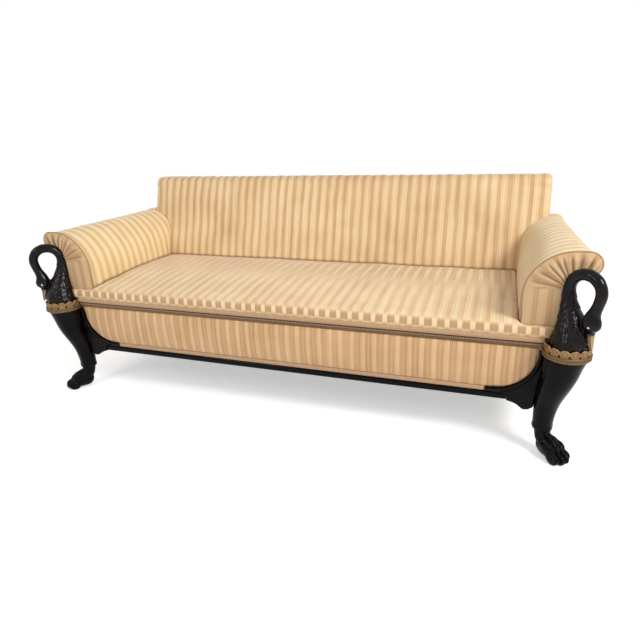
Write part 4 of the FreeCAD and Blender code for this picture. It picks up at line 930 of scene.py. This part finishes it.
def slicedCopy(name, node, steps):
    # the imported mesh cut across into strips
    piece, bm = mergedCopy(name, node)
    for axis, step in steps:
        spots = [v.co[axis] for v in bm.verts]
        count = int((max(spots) - min(spots)) / step)
        way = [0, 0, 0]
        way[axis] = 1
        for i in range(1, count):
            middle = [0, 0, 0]
            middle[axis] = min(spots) + (max(spots) - min(spots)) * i / count
            whole = bm.verts[:] + bm.edges[:] + bm.faces[:]
            bmesh.ops.bisect_plane(bm, geom=whole, dist=1e-6, plane_co=middle, plane_no=way)
    bm.to_mesh(piece.data)
    bm.free()
    return piece


coverSlack = {"step": 0.022, "wave": 0.0016, "pucker": 0.0008, "tacks": 0.03}


def makeCovers(settings):
    # cloth stretched over the outside of the frame, faintly rippled between its tacks
    step = settings["step"]
    covers = (
        ("backOutsideCover", "back_outside_cover", ((0, step), (2, step)), (0, 1, 0), backSilk, "striped_satin"),
        ("armOutsideCover", "arm_outside_cover", ((1, step), (2, step)), (1, 0, 0), armSilk, "striped_satin"),
        ("armBackPanel", "arm_back_panel", ((0, step), (2, step)), (0, 1, 0), backSilk, "striped_satin"),
        ("dustCover", "dust_cover", ((0, step * 2), (1, step * 2)), (0, 0, -1), lining, "lining_cloth"),
    )
    for name, node, steps, way, finish, slot in covers:
        single = node in nodes
        piece = slicedCopy(name if single else name + "Right", node if single else node + "_right", steps)
        places, normals = readShape(piece)
        inner = places[:, steps[0][0]], places[:, steps[1][0]]
        edge = np.minimum.reduce([np.minimum(v - v.min(), v.max() - v) for v in inner])
        swell = ease(0.0, 0.06, edge) * settings["wave"] * ripple(places, 0.22, 8)
        pucker = ease(0.05, 0.012, edge) * ease(0.0, 0.01, edge) * settings["pucker"]
        pucker *= np.sin(places.sum(axis=1) * 2 * math.pi / settings["tacks"])
        places += np.array(way) * (swell + pucker)[:, None]
        writeShape(piece, places)
        if single:
            settle(piece, finish, slot, node)
            continue
        other = settle(mirrored(piece, name + "Left"), finish, slot, node + "_left")
        settle(piece, finish, slot, node + "_right")


def clothSheet(name, bm, thick):
    piece = meshPiece(name, bm)
    solid = piece.modifiers.new("solid", "SOLIDIFY")
    solid.thickness = thick
    solid.offset = 1
    applyModifiers(piece)
    return piece


backEnd = {"plane": 1.0012, "thick": 0.0016, "from": 0.600, "to": 0.884, "front": 0.030, "rear": 0.0795,
           "columns": 6, "rows": 24}


def makeBackEnds(settings):
    # cloth border over the back's end, from the pad to the outside cover
    bm = bmesh.new()
    rows = []
    for i in range(settings["rows"] + 1):
        z = settings["from"] + (settings["to"] - settings["from"]) * i / settings["rows"]
        face = backFace(z)
        near = settings["front"] + 0.016 * float(ease(0.850, 0.884, np.array(z)))
        row = []
        for j in range(settings["columns"] + 1):
            depth = near + (settings["rear"] - near) * j / settings["columns"]
            row.append(bm.verts.new((settings["plane"], face + depth, z)))
        rows.append(row)
    for under, over in zip(rows, rows[1:]):
        for j in range(settings["columns"]):
            bm.faces.new((under[j], under[j + 1], over[j + 1], over[j]))
    piece = clothSheet("backEndRight", bm, settings["thick"])
    settle(mirrored(piece, "backEndLeft"), armSilk, "striped_satin")
    settle(piece, armSilk, "striped_satin")


armEnd = {"plane": 0.3553, "thick": 0.0016, "middle": (1.027, 0.7106), "radius": 0.0275,
          "inner": 1.0028, "outer": 1.0205, "from": 0.609}


def makeArmEnds(settings):
    # cloth stitched over the rear end of the arm's roll
    midX, midZ = settings["middle"]
    radius = settings["radius"]
    outline = [(settings["inner"], settings["from"]), (settings["outer"], settings["from"])]
    first = -math.acos((settings["outer"] - midX) / radius)
    last = 2 * math.pi - math.acos((settings["inner"] - midX) / radius)
    for angle in np.linspace(first, last, 40):
        outline.append((midX + radius * math.cos(angle), midZ + radius * math.sin(angle)))
    bm = bmesh.new()
    face = bm.faces.new([bm.verts.new((x, settings["plane"], z)) for x, z in reversed(outline)])
    area = face.calc_area()
    bmesh.ops.triangulate(bm, faces=bm.faces)
    piece = clothSheet("armEndRight", bm, settings["thick"])
    settle(mirrored(piece, "armEndLeft"), backSilk, "striped_satin")
    settle(piece, backSilk, "striped_satin")


seat = makeSeat(seatPadding)
makeBack(backPadding, seat)
makeBackEnds(backEnd)
makeArmEnds(armEnd)
makeArms(armPadding, seat)
makeFacings(facingPleats)
makeFrontPanel(panelPadding)
makeWelts(weltRoll)
makeBraid(braidWork)
makePiping(pipingTwist)
makeGimps(gimpBand)
makeCovers(coverSlack)
print("upholstery made")

# finishes of the nodes that keep their own shape
nodeFinishes = (
    (("front_moulding", "side_moulding_left", "side_moulding_right"), legWood),
    (("seat_webbing", "back_webbing", "arm_webbing", "seat_hessian"), jute),
    (("seat_springs", "corner_block_screws"), steel),
    (("swan_eyes",), beads),
)
dressed = set()
for names, finish in nodeFinishes:
    for name in names:
        nodes[name].data.materials.clear()
        nodes[name].data.materials.append(finish)
        dressed.add(name)
for name, node in nodes.items():
    if name not in dressed and not node.hide_render:
        node.data.materials.clear()
        node.data.materials.append(beech)
print("frame dressed")

# pale floor, white surroundings and soft studio light
studio = {"floor": "#F6F5F4", "sky": 0.60, "key": 92.0, "fill": 20.0, "side": 0.9, "glow": 0.42}


def seenRay(tree):
    # 1 for what the camera sees, straight or in a reflection
    path = addNode(tree, "ShaderNodeLightPath")
    return worked(tree, "MAXIMUM", path.outputs["Is Camera Ray"], path.outputs["Is Glossy Ray"])


def makeStudio(settings):
    bm = bmesh.new()
    bmesh.ops.create_grid(bm, x_segments=1, y_segments=1, size=14)
    floor = meshPiece("studioFloor", bm)
    material, tree, surface = newMaterial("paleFloor", **{"Base Color": hexColor(settings["floor"]),
                                                          "Roughness": 0.9, "Emission Color": (1, 1, 1, 1)})
    glow = worked(tree, "MULTIPLY", seenRay(tree), settings["glow"])
    wire(tree, surface, {"Emission Strength": glow})
    floor.data.materials.append(material)
    world = bpy.data.worlds.new("studioWorld")
    scene.world = world
    world.use_nodes = True
    tree = world.node_tree
    tree.nodes.clear()
    strength = ranged(tree, seenRay(tree), settings["sky"], 1.0)
    back = addNode(tree, "ShaderNodeBackground", {"Color": (1, 1, 1, 1), "Strength": strength})
    addNode(tree, "ShaderNodeOutputWorld", {"Surface": back.outputs[0]})
    for name, power, size, spread, place, aim in (
            ("keyLight", settings["key"], 1.1, 180, (2.9, -1.6, 2.8), (-0.3, 0, 0.4)),
            ("fillLight", settings["fill"], 0.9, 180, (-1.8, -2.8, 2.4), (-0.4, -0.2, 0.4)),
            ("sideLight", settings["side"], 0.5, 40, (1.75, -0.75, 1.3), (-1.05, 0.05, 0.62))):
        lamp = bpy.data.lights.new(name, "AREA")
        lamp.energy = power
        lamp.size = size
        lamp.spread = math.radians(spread)
        shine = bpy.data.objects.new(name, lamp)
        aimed = (Vector(aim) - Vector(place)).to_track_quat("-Z", "Y")
        shine.matrix_world = Matrix.Translation(place) @ aimed.to_matrix().to_4x4()
        scene.collection.objects.link(shine)


makeStudio(studio)
scene.view_settings.view_transform = "Standard"
